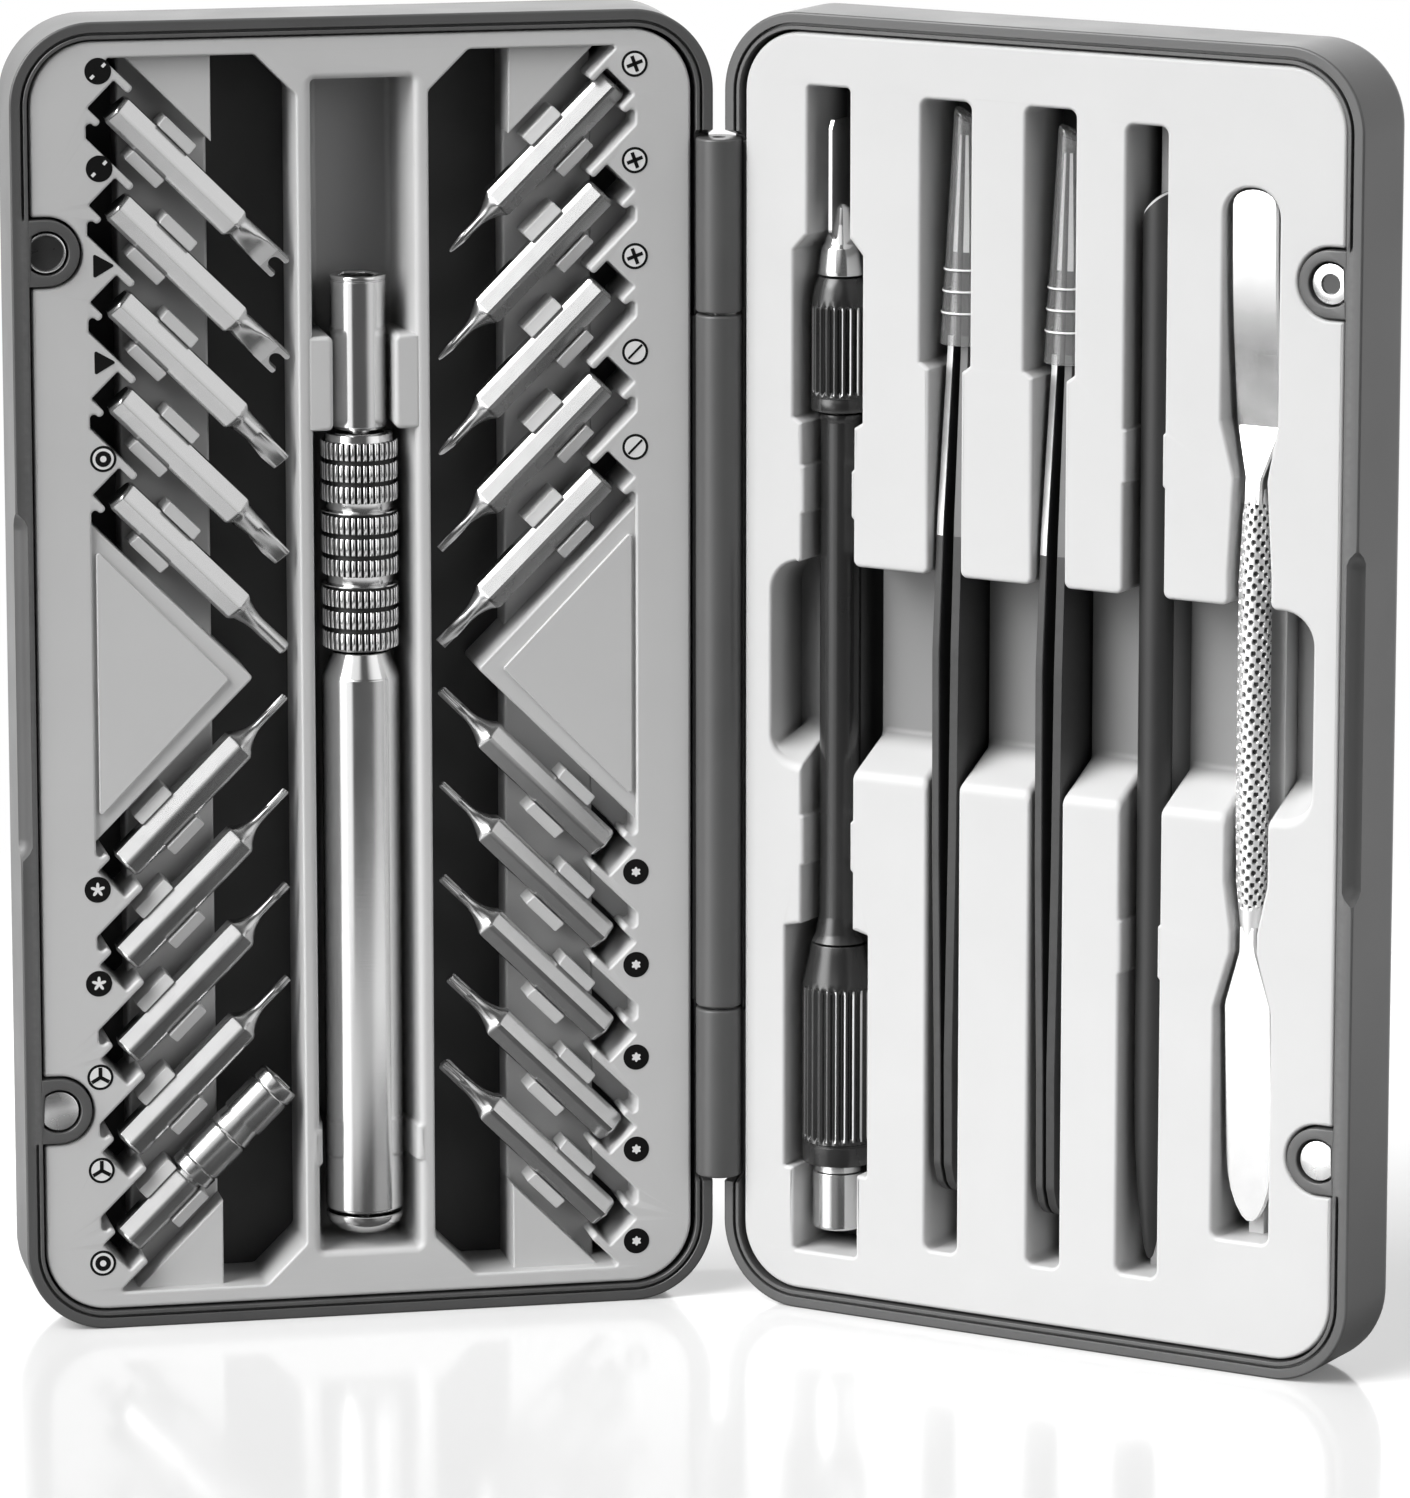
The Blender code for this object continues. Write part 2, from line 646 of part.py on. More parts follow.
def shank(flats=BIT_FLATS, body=BIT_BODY):
    """Hexagonal body of a bit with eased ends."""
    ease = 0.45 * MM
    rows = [(0.82, 0), (1, ease), (1, body - ease), (0.9, body)]
    return [ring_at(hexagon(flats * scale), z) for scale, z in rows]


def bit(name, tip):
    """Bit on the z axis: its body and a tip of (section, height past the body) rows."""
    neck = ring_at(circle(BIT_SHAFT_RADIUS, 12), BIT_BODY + 1.5 * MM)
    return loft(name, shank() + [neck] + [ring_at(section, BIT_BODY + z) for section, z in tip])


def fork_bit(name):
    length = BIT_LENGTH - BIT_BODY
    solid = bit(name, [(rectangle(3.8 * MM, 1.2 * MM), 4.4 * MM), (rectangle(3.8 * MM, 0.9 * MM), length)])
    slit = loft(name + "_slit", [ring_at(rectangle(1.5 * MM, 3 * MM), BIT_LENGTH + z * MM) for z in (-2.4, 1)])
    return solid, slit


def tip_rows(kind):
    """Sections past the body of each plain kind of bit, with their heights."""
    length = BIT_LENGTH - BIT_BODY
    round_end = [(circle(1.0 * MM, 12), 4 * MM), (circle(0.6 * MM, 12), length)]
    rows = {
        "triangle": [(triangle(1.9 * MM), 3.6 * MM), (triangle(1.6 * MM), length)],
        "pin": [(circle(0.95 * MM, 12), 3 * MM), (circle(0.9 * MM, 12), length)],
        "star": [(lobes(0.85 * MM, 0.6 * MM), 5 * MM), (lobes(0.8 * MM, 0.55 * MM), length)],
        "triwing": [(tri_wing(1.0 * MM, 0.5 * MM), 4.5 * MM), (tri_wing(0.7 * MM, 0.35 * MM), length)],
        "cross": [(cross(1.0 * MM, 0.5 * MM), 4.8 * MM), (cross(0.3 * MM, 0.16 * MM), length)],
        "slot": [(rectangle(1.9 * MM, 0.9 * MM), 4.2 * MM), (rectangle(1.9 * MM, 0.4 * MM), length)],
        "lobe": [(lobes(0.9 * MM, 0.65 * MM), 4.6 * MM), (lobes(0.9 * MM, 0.65 * MM), length)],
    }
    return rows.get(kind, round_end)


def adapter(name):
    """Socket adapter: hexagonal shank and a round body with a hexagonal socket."""
    rows = shank(body=ADAPTER_SHANK)
    ease = 0.4 * MM
    outer = [(ADAPTER_RADIUS - ease, ADAPTER_SHANK + ease), (ADAPTER_RADIUS, ADAPTER_SHANK + 2 * ease)]
    outer += [(ADAPTER_RADIUS, ADAPTER_LENGTH - ease), (ADAPTER_RADIUS - ease, ADAPTER_LENGTH)]
    rows += [ring_at(circle(radius, 12), z) for radius, z in outer]
    rows += [ring_at(hexagon(BIT_FLATS), z) for z in (ADAPTER_LENGTH, ADAPTER_LENGTH - 8 * MM)]
    return loft(name, rows)


def seat(side, up, cell, start):
    """Matrix that lays a bit in its cell, its axis on the slant and a corner to the front."""
    reach, rise = cell_point(cell, start, 0)
    along = Vector((-side, 0, -up)).normalized()
    back = Vector((0, 1, 0))
    across = back.cross(along)
    turn = Matrix((across, back, along)).transposed().to_4x4()
    spot = (-TRAY_CENTRE + side * reach, BIT_DEPTH, MID + up * rise)
    return Matrix.Translation(spot) @ turn


def bits(parent):
    """The twenty bits, listed from the top of each column quarter to its foot."""
    outer_top = ["fork_1", "fork_2", "triangle_1", "triangle_2", "pin_1"]
    outer_foot = ["star_1", "star_2", "triwing_1", "triwing_2", "socket_adapter"]
    inner_top = ["cross_1", "cross_2", "cross_3", "slot_1", "slot_2"]
    inner_foot = ["lobe_1", "lobe_2", "lobe_3", "lobe_4", "lobe_5"]
    starts = {"cross_1": 0.7 * MM, "lobe_4": 1.4 * MM, "socket_adapter": 2.3 * MM}
    quarters = [(-1, 1, outer_top), (-1, -1, outer_foot), (1, 1, inner_top), (1, -1, inner_foot)]
    for side, up, labels in quarters:
        for cell, label in enumerate(labels if up > 0 else labels[::-1]):
            kind = label.split("_")[0]
            name = "bit_" + label
            matrix = seat(side, up, cell, starts.get(label, BIT_START))
            if kind == "fork":
                solid, slit = fork_bit(name)
                place(solid, parent, STEEL, matrix)
                modify(solid, slit, "DIFFERENCE")
                slit.matrix_local = matrix
                continue
            solid = adapter(name) if kind == "socket" else bit(name, tip_rows(kind))
            place(solid, parent, STEEL, matrix)


# Driver handle


def driver(parent):
    """Handle pieces on one axis, which lies in the channel of the left tray."""
    axis = Matrix.Translation((-TRAY_CENTRE, DRIVER_DEPTH, 0))
    ease = 0.4 * MM
    socket = CHUCK_TOP - SOCKET_DEPTH
    rows = [(SPIGOT_RADIUS, CHUCK_FOOT - 7 * MM), (SPIGOT_RADIUS, CHUCK_FOOT)]
    rows += [(CHUCK_RADIUS, CHUCK_FOOT), (CHUCK_RADIUS, CHUCK_TOP - ease), (CHUCK_RADIUS - ease, CHUCK_TOP)]
    rings = [ring_at(circle(radius), z) for radius, z in rows]
    rings += [ring_at(hexagon(BIT_FLATS + FIT, 24), z) for z in (CHUCK_TOP, socket)]
    place(loft("driver_chuck", rings), parent, STEEL, axis)
    magnet = turned("driver_chuck_magnet", [(1.7 * MM, socket + FIT), (1.7 * MM, socket + 2 * MM)], 16)
    place(magnet, parent, STEEL, axis)
    place(turned("driver_grip", grip_profile(), 16), parent, ALLOY, axis)
    place(turned("driver_barrel", barrel_profile()), parent, ALLOY, axis)
    pin_top = BARREL_FOOT + 6.5 * MM
    pin = turned("driver_cap_pin", [(0.8 * MM, CAP_FOOT + 1.6 * MM), (0.8 * MM, pin_top)], 12)
    place(pin, parent, STEEL, axis)
    place(turned("driver_end_cap", cap_profile()), parent, ALLOY, axis)


def grip_profile():
    """Nine knurled rings in three groups, with a bore on top for the chuck's spigot."""
    ring, pitch, group = 1.9 * MM, 2.6 * MM, 9.0 * MM
    waist, land, crest = 3.7 * MM, 4.1 * MM, 4.6 * MM
    profile = [(waist, GRIP_FOOT)]
    for bundle in range(3):
        foot = GRIP_FOOT + 0.4 * MM + bundle * group
        for k in range(3):
            low = foot + k * pitch
            profile += [(land, low), (crest, low + 0.2 * MM), (crest, low + ring), (land, low + ring + 0.2 * MM)]
    profile.append((waist, GRIP_TOP))
    bore = SPIGOT_RADIUS + FIT
    return profile + [(bore, GRIP_TOP), (bore, CHUCK_FOOT - 7.5 * MM)]


def barrel_profile():
    taper, ease = 2.7 * MM, 0.3 * MM
    bore = 0.8 * MM + FIT
    profile = [(bore, BARREL_FOOT + 7 * MM), (bore, BARREL_FOOT), (DRIVER_RADIUS - ease, BARREL_FOOT)]
    profile += [(DRIVER_RADIUS, BARREL_FOOT + ease), (DRIVER_RADIUS, BARREL_TOP - taper)]
    return profile + [(3.3 * MM, BARREL_TOP)]


def cap_profile():
    """Domed end with a blind hole for its pin."""
    dome = [(DRIVER_RADIUS * math.sin(a), CAP_TOP - (CAP_TOP - CAP_FOOT) * math.cos(a))
            for a in np.radians([20, 45, 65, 80, 90])]
    bore = 0.8 * MM + FIT
    return dome + [(bore, CAP_TOP), (bore, CAP_FOOT + 1.2 * MM)]


# Tools of the right tray


def knife(parent):
    """Collet knife: blade, collet, ribbed collar, slim shaft, ribbed grip and bright end."""
    axis = Matrix.Translation((KNIFE_REACH, KNIFE_DEPTH, 0))
    blade = [(-2.9, 146.2), (-2.2, 147), (2.2, 147), (2.9, 145.4), (2.9, 137), (1.3, 132)]
    blade += [(-1.3, 132), (-2.9, 137)]
    half = 0.3 * MM
    sides = [[(x, y * MM, z * MM) for y, z in blade] for x in (-half, half)]
    place(loft("knife_blade", sides), parent, STEEL, axis)
    collet = [(2.9, 128.2), (2.4, 131.3), (2.0, 131.7)]
    place(turned("knife_collet", millimetres(collet)), parent, STEEL, axis)
    fluted = ribbed(3.65 * MM, 0.3 * MM, 12)
    count = len(fluted)
    rings = [ring_at(circle(r * MM, count), z * MM) for r, z in [(3.4, 111.5), (3.65, 111.8), (3.65, 113.4)]]
    rings += [ring_at(fluted, z * MM) for z in (113.7, 124.3)]
    rings += [ring_at(circle(r * MM, count), z * MM) for r, z in [(3.6, 124.6), (3.3, 126.6), (2.7, 127.9)]]
    bore = circle(SPIGOT_RADIUS, count)
    rings += [ring_at(bore, z * MM) for z in (127.9, 111.5)]
    place(loft("knife_collar", rings, closed=True), parent, BLACK_PLASTIC, axis)
    stem = (SPIGOT_RADIUS - FIT) / MM
    shaft = [(3.4, 45.9), (2.9, 46.8), (2.55, 49), (2.5, 111.2), (stem, 111.2), (stem, 127.9)]
    place(turned("knife_shaft", millimetres(shaft), 20), parent, BLACK_PLASTIC, axis)
    fluted = ribbed(4.55 * MM, 0.35 * MM, 14)
    count = len(fluted)
    rings = [ring_at(circle(r * MM, count), z * MM) for r, z in [(4.2, 18.2), (4.5, 18.6), (4.5, 20.9)]]
    rings += [ring_at(fluted, z * MM) for z in (21.2, 40.6)]
    rings += [ring_at(circle(r * MM, count), z * MM) for r, z in [(4.3, 41), (3.4, 45.6)]]
    place(loft("knife_grip", rings), parent, BLACK_PLASTIC, axis)
    end = [(2.9, 9.8), (3.2, 10.1), (3.2, 17.9)]
    place(turned("knife_end_cap", millimetres(end)), parent, STEEL, axis)


def millimetres(profile):
    return [(radius * MM, z * MM) for radius, z in profile]


def tweezers(number, reach, shift, parent):
    """Pair of black arms standing on edge, with a clear cap over their tips."""
    axis = Matrix.Translation((reach, TWEEZER_DEPTH, shift))
    # Each station: height, distance of the arm from the middle, its thickness and half its width
    stations = [(16.6, 0.75, 1.1, 1.6), (17.6, 0.75, 1.1, 3.1), (20.5, 0.75, 1.1, 4.3), (34, 0.75, 1.1, 4.5)]
    stations += [(60, 1.15, 1.1, 4.5), (84, 1.3, 1.1, 4.4), (100, 1.2, 1.1, 3.5), (120, 0.95, 1.0, 1.7)]
    stations += [(134, 0.7, 0.8, 0.9), (146, 0.4, 0.4, 0.35)]
    for label, hand in (("left", -1), ("right", 1)):
        rings = []
        for z, offset, thick, wide in stations:
            inner, outer = hand * (offset - thick / 2) * MM, hand * (offset + thick / 2) * MM
            corners = [(inner, -wide * MM), (outer, -wide * MM), (outer, wide * MM), (inner, wide * MM)]
            rings.append([(x, y, z * MM) for x, y in corners])
        place(loft(f"tweezers_{number}_arm_{label}", rings), parent, BLACK_STEEL, axis)
    foot, head, wide, narrow, wall = 120.9, 148.8, 2.9, 1.25, 0.42
    profile = [(narrow - wall, head - 0.8), (wide - wall, foot), (wide, foot), (wide, foot + 0.6)]
    for height in (124.8, 127.4, 130):
        radius = wide - (wide - narrow) * (height - foot) / (head - foot)
        profile += [(radius, height - 0.25), (radius + 0.18, height), (radius, height + 0.25)]
    profile += [(narrow + 0.1, head - 0.5), (narrow - 0.3, head)]
    place(turned(f"tweezers_{number}_tip_cap", millimetres(profile), 16), parent, CLEAR, axis)


def spudger(parent):
    """Round black stick with a chisel head and a pointed foot."""
    axis = Matrix.Translation((SPUDGER_REACH, SPUDGER_DEPTH, 0))
    rings = [ring_at(circle(r * MM, 12), z * MM) for r, z in [(0.35, 11.6), (1.1, 15), (2.0, 24), (2.2, 34)]]
    rings += [ring_at(circle(2.2 * MM, 12), 128 * MM)]
    rings += [ring_at(rectangle(w * MM, t * MM), z * MM) for w, t, z in [(3.6, 2.2, 136), (3.6, 0.5, 142)]]
    place(loft("spudger", rings), parent, BLACK_PLASTIC, axis)


def pry_tool(parent):
    """Steel lever with two flat ends and a round knurled middle."""
    axis = Matrix.Translation((PRY_REACH, PRY_DEPTH, 0))
    flat = [(1.2, 0.7, 18.2), (4.0, 0.8, 20.2), (6.0, 0.9, 23), (6.4, 0.9, 26), (6.4, 0.9, 45)]
    rings = [ring_at(rectangle(w * MM, t * MM), z * MM) for w, t, z in flat]
    grip = [(1.15, 51.5), (1.2, 53.5), (1.9, 60), (2.0, 70), (2.0, 96), (1.3, 107), (1.1, 108.6)]
    rings += [ring_at(circle(r * MM, 12), z * MM) for r, z in grip]
    flat = [(6.1, 1.0, 114.6), (6.1, 1.0, 140), (5.0, 0.9, 141.7), (2.4, 0.9, 142.6)]
    rings += [ring_at(rectangle(w * MM, t * MM), z * MM) for w, t, z in flat]
    place(loft("pry_tool", rings), parent, STEEL, axis)


def stand_on_origin(root):
    """Move the whole set so that its box stands centred on the origin."""
    bpy.context.view_layer.update()
    graph = bpy.context.evaluated_depsgraph_get()
    corners = []
    for solid in bpy.context.scene.objects:
        if solid.type == "MESH" and not solid.hide_render:
            shown = solid.evaluated_get(graph)
            corners += [solid.matrix_world @ vertex.co for vertex in shown.data.vertices]
    corners = np.array(corners)
    middle = (corners.min(axis=0) + corners.max(axis=0)) / 2
    root.location = (-middle[0], -middle[1], -corners[:, 2].min())
    bpy.context.view_layer.update()


def main():
    for old in list(bpy.data.objects):
        bpy.data.objects.remove(old)
    case = empty("case")
    left = empty("left_half", case)
    left.rotation_euler.z = LEFT_TURN
    right = empty("right_half", case)
    right.rotation_euler.z = -RIGHT_TURN
    split = FIT / 2
    middle = [(MID - KNUCKLE_HALF + split, MID + KNUCKLE_HALF - split)]
    ends = [(MID - BARREL_HALF, MID - KNUCKLE_HALF - split), (MID + KNUCKLE_HALF + split, MID + BARREL_HALF)]
    shell(-1, "left_shell", left, middle, ends)
    shell(1, "right_shell", right, ends, middle)
    pin = turned("hinge_pin", [(PIN_RADIUS, MID - BARREL_HALF), (PIN_RADIUS, MID + BARREL_HALF)], 16)
    place(pin, left, STEEL)
    magnets(-1, "left", left)
    magnets(1, "right", right)
    left_tray = terrace("left_tray", tray_outline(-1), left_regions(), TRAY_FRONT, TRAY_BACK)
    place(left_tray, left, TRAY)
    modify(left_tray, channel("left_tray_channel"), "DIFFERENCE")
    right_tray = terrace("right_tray", tray_outline(1), right_regions(), TRAY_FRONT, TRAY_BACK)
    place(right_tray, right, TRAY)
    modify(right_tray, trench("right_tray_trench"), "DIFFERENCE")
    bits(left)
    driver(left)
    knife(right)
    for number, (reach, shift) in enumerate(zip(TWEEZER_REACHES, (0, -1.2 * MM)), 1):
        tweezers(number, reach, shift, right)
    spudger(right)
    pry_tool(right)
    stand_on_origin(case)


main()
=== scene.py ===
"""Looks of a precision screwdriver set: a hinged case with bits, a driver handle and hand tools.

Sizes are in millimetres. A point of a case half is (across from the hinge, back from the parting
plane, up), and its HalfFrame turns it into the row frame in metres.
"""

from __future__ import annotations

import json
import logging
import math
from dataclasses import dataclass
from enum import Enum
from functools import cache
from typing import Callable, Sequence

import bmesh
import bpy
import numpy as np
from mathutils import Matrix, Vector
from mathutils.geometry import tessellate_polygon

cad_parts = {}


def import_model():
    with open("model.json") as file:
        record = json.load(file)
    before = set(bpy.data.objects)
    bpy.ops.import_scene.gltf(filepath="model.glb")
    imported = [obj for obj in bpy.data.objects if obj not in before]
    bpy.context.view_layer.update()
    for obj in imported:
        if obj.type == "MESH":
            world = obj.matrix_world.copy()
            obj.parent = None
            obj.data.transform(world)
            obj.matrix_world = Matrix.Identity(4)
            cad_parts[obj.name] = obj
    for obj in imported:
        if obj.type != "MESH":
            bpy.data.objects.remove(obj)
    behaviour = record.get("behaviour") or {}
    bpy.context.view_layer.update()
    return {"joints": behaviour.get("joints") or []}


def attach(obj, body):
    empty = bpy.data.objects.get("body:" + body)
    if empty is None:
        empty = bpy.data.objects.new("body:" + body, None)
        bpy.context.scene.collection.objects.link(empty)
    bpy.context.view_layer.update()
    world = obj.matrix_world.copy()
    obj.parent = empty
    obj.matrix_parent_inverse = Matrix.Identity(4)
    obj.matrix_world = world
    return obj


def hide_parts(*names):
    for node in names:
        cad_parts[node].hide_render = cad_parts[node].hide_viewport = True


log = logging.getLogger("screwdriver_set")

MM = 0.001
MID = 80.0
HALF_REACH = 85.7
HALF_DEPTH = 12.9
HINGE_GAP = 0.65
RIM = 0.15
WALL = 2.1
FIT = 0.3
CORNER = 10.0
FLOOR_FRONT = 11.7
LUG_REACH = 81.5
LUG_RISE = 52.5
LUG_RADIUS = 4.0
BARREL_RADIUS = 2.8
BARREL_HALF = 64.3
KNUCKLE_HALF = 43.0
TRAY_FRONT = 0.5
TRAY_BACK = 11.4
TRAY_HINGE_EDGE = 3.35
TRAY_OUTER_EDGE = 83.3
TRAY_CENTRE = 43.325
SMOOTH_ANGLE = math.radians(38)
RIB_POINTS = 12
SLANT = math.sqrt(0.5)

FORK_FLAT = np.array([math.cos(math.radians(-72)), math.sin(math.radians(-72))])

QUARTER_TURN = np.linspace(0, np.pi / 2, 5)
# Inset and sink along a quarter round, as shares of its radius.
QUARTER_ROUND = np.stack([1 - np.sin(QUARTER_TURN), 1 - np.cos(QUARTER_TURN)], 1)

Corner = tuple[float, ...]
Seat = Callable[[np.ndarray], np.ndarray]


class Side(Enum):
    """The two halves of the open case, by the sign of their reach from the hinge."""

    LEFT = -1
    RIGHT = 1


# Outlines and surfaces


def fillet(corners: Sequence[Corner], step: float = 10.0) -> np.ndarray:
    """Round a closed outline: each corner becomes the arc that touches both of its sides.

    Args:
        corners: (x, z) or (x, z, radius) for each corner.
        step: angle of the arcs' steps in degrees.

    Returns:
        Points (n, 2) with no two in the same place.
    """
    spots = np.array([corner[:2] for corner in corners], float)
    rows = []
    for index, corner in enumerate(corners):
        here = spots[index]
        radius = corner[2] if len(corner) > 2 else 0.0
        before = spots[index - 1] - here
        after = spots[(index + 1) % len(spots)] - here
        before /= np.linalg.norm(before)
        after /= np.linalg.norm(after)
        half = math.acos(float(np.clip(before @ after, -1, 1))) / 2
        if radius <= 0 or half > math.radians(89):
            rows.append(here[None])
            continue
        reach = radius / math.tan(half)
        bisector = (before + after) / np.linalg.norm(before + after)
        centre = here + bisector * radius / math.sin(half)
        first = here + before * reach - centre
        last = here + after * reach - centre
        sweep = math.pi - 2 * half
        turn = np.sign(first[0] * last[1] - first[1] * last[0])
        angles = turn * np.linspace(0, sweep, max(2, math.ceil(math.degrees(sweep) / step)) + 1)
        cosine, sine = np.cos(angles), np.sin(angles)
        arc = np.stack([first[0] * cosine - first[1] * sine, first[0] * sine + first[1] * cosine], 1)
        rows.append(centre + arc)
    outline = np.concatenate(rows)
    apart = np.linalg.norm(np.roll(outline, -1, 0) - outline, axis=1) > 1e-4
    return outline[apart]


def box(x0: float, x1: float, z0: float, z1: float, radius: float, step: float = 6.0) -> np.ndarray:
    """Rectangle with four equal round corners, counter-clockwise."""
    return fillet([(x0, z0, radius), (x1, z0, radius), (x1, z1, radius), (x0, z1, radius)], step)


def turns(count: int) -> np.ndarray:
    """Evenly spread angles of one turn."""
    return np.arange(count) * 2 * np.pi / count


def spread(radii: np.ndarray) -> np.ndarray:
    """Points (n, 2) at evenly spread angles, each at its radius: radius times cosine and sine."""
    angle = turns(len(radii))
    return np.stack([radii * np.cos(angle), radii * np.sin(angle)], 1)


def circle(x: float, z: float, radius: float, count: int = 48) -> np.ndarray:
    """Circle of evenly spread points, counter-clockwise."""
    return spread(np.full(count, radius)) + np.array([x, z])


def forward(outline: np.ndarray) -> np.ndarray:
    """The outline with its points in counter-clockwise order, told by the sign of its area."""
    area = (outline[:, 0] * np.roll(outline[:, 1], -1) - outline[:, 1] * np.roll(outline[:, 0], -1)).sum()
    return outline if area > 0 else outline[::-1].copy()


def offset(outline: np.ndarray, distance: float | np.ndarray) -> np.ndarray:
    """Shift every side of a counter-clockwise outline outwards.

    Each point moves along the sum of its two sides' normals, divided by one plus their cosine.

    Args:
        outline: points (n, 2).
        distance: outward shift, one for all points or one each.

    Returns:
        As many points, shifted.
    """
    ahead = np.roll(outline, -1, 0) - outline
    ahead /= np.linalg.norm(ahead, axis=1, keepdims=True)
    normal = np.stack([ahead[:, 1], -ahead[:, 0]], 1)
    behind = np.roll(normal, 1, 0)
    spread = np.maximum(1 + (normal * behind).sum(1), 0.4)
    return outline + (normal + behind) * (np.asarray(distance) / spread)[:, None]


def densify(outline: np.ndarray, step: float) -> np.ndarray:
    """Split the sides of an outline evenly, so that none is longer than the step.

    Args:
        outline: closed outline (n, 2).
        step: longest side.

    Returns:
        The outline with more points.
    """
    ahead = np.roll(outline, -1, 0) - outline
    counts = np.maximum(1, np.ceil(np.linalg.norm(ahead, axis=1) / step)).astype(int)
    index = np.repeat(np.arange(len(outline)), counts)
    share = (np.arange(counts.sum()) - np.repeat(np.cumsum(counts) - counts, counts)) / counts[index]
    return outline[index] + ahead[index] * share[:, None]


def lay(outline: np.ndarray, depth: float | np.ndarray) -> np.ndarray:
    """Put an outline of (x, z) points at a depth y."""
    return np.stack([outline[:, 0], np.broadcast_to(depth, len(outline)), outline[:, 1]], 1)


def lips(outline: np.ndarray, front: float | np.ndarray, lip: float, way: int) -> list[np.ndarray]:
    """Rings of a quarter round from a face to its upright wall, shifted outwards (1) or inwards (-1)."""
    return [lay(offset(outline, way * lip * inset), front + lip * sink) for inset, sink in QUARTER_ROUND]


def ease(share: np.ndarray) -> np.ndarray:
    """Smooth step from 0 to 1: three times the square less twice the cube."""
    held = np.clip(share, 0, 1)
    return held * held * (3 - 2 * held)


def quads(rows: int, count: int, first: int = 0, closed: bool = False) -> np.ndarray:
    """Faces of a grid whose rows are rings; closed also joins the last ring to the first.

    Args:
        rows: number of rings.
        count: points in each ring.
        first: number of the first point.
        closed: whether the last ring joins the first.

    Returns:
        Corner numbers (k, 4).
    """
    row = np.arange(rows if closed else rows - 1)[:, None]
    column = np.arange(count)[None, :]
    below, right = (row + 1) % rows, (column + 1) % count
    corners = [row * count + column, row * count + right, below * count + right, below * count + column]
    return np.stack(corners, -1).reshape(-1, 4) + first


def rings_of(outlines: Sequence[np.ndarray], heights: Sequence[float]) -> np.ndarray:
    """Stack outlines of (x, y) points into rings (m, n, 3) at their heights along z."""
    return np.stack([np.column_stack([o, np.full(len(o), z)]) for o, z in zip(outlines, heights)])


def polar(reach: np.ndarray, height: np.ndarray, count: int) -> np.ndarray:
    """Rings round the z axis: radius times the cosine and sine of evenly spread angles.

    Args:
        reach: radius of each ring (m, 1), or of each of its points (m, count).
        height: height of each ring.
        count: points in each ring.

    Returns:
        Rings (m, count, 3).
    """
    x, y = reach * np.cos(turns(count)), reach * np.sin(turns(count))
    return np.stack([x, y, np.broadcast_to(height[:, None], x.shape)], -1)


def turned(profile: Sequence[tuple[float, float]], count: int = 64) -> np.ndarray:
    """Surface of revolution of a profile of (radius, height) points, as rings (m, count, 3)."""
    radius, height = np.array(profile, float).T
    return polar(radius[:, None], height, count)


def rounded(profile: Sequence[Corner], step: float = 18.0) -> list[tuple[float, float]]:
    """Round the inner corners of an open profile of (radius, height) or (radius, height, ease) corners."""
    outline = fillet([*profile, (-50.0, profile[-1][1]), (-50.0, profile[0][1])], step)
    return [tuple(p) for p in outline[:-2]]


def rod(radius: float, low: float, high: float) -> np.ndarray:
    """Turned pin with eased ends, as rings (m, 32, 3)."""
    return turned(rounded([(0.02, low), (radius, low, 0.2), (radius, high, 0.2), (0.02, high)]), 32)


def section(corners: np.ndarray, count: int) -> np.ndarray:
    """Sample a star-shaped polygon at even angles, with the nearest samples moved to its corners.

    On a side with normal n through a, the radius at direction d is (n.a) / (n.d).

    Args:
        corners: polygon points (k, 2) round the origin, counter-clockwise.
        count: number of samples.

    Returns:
        Points (count, 2), starting near angle zero.
    """
    angles = np.arctan2(corners[:, 1], corners[:, 0]) % (2 * np.pi)
    order = np.argsort(angles)
    corners, angles = corners[order], angles[order]
    even = turns(count)
    nearest = np.round(angles / (2 * np.pi) * count).astype(int) % count
    even[nearest] = angles
    index = (np.searchsorted(angles, even + 1e-9) - 1) % len(corners)
    start, end = corners[index], corners[(index + 1) % len(corners)]
    normal = np.stack([end[:, 1] - start[:, 1], start[:, 0] - end[:, 0]], 1)
    facing = np.stack([np.cos(even), np.sin(even)], 1)
    radius = (normal * start).sum(1) / (normal * facing).sum(1)
    return facing * radius[:, None]


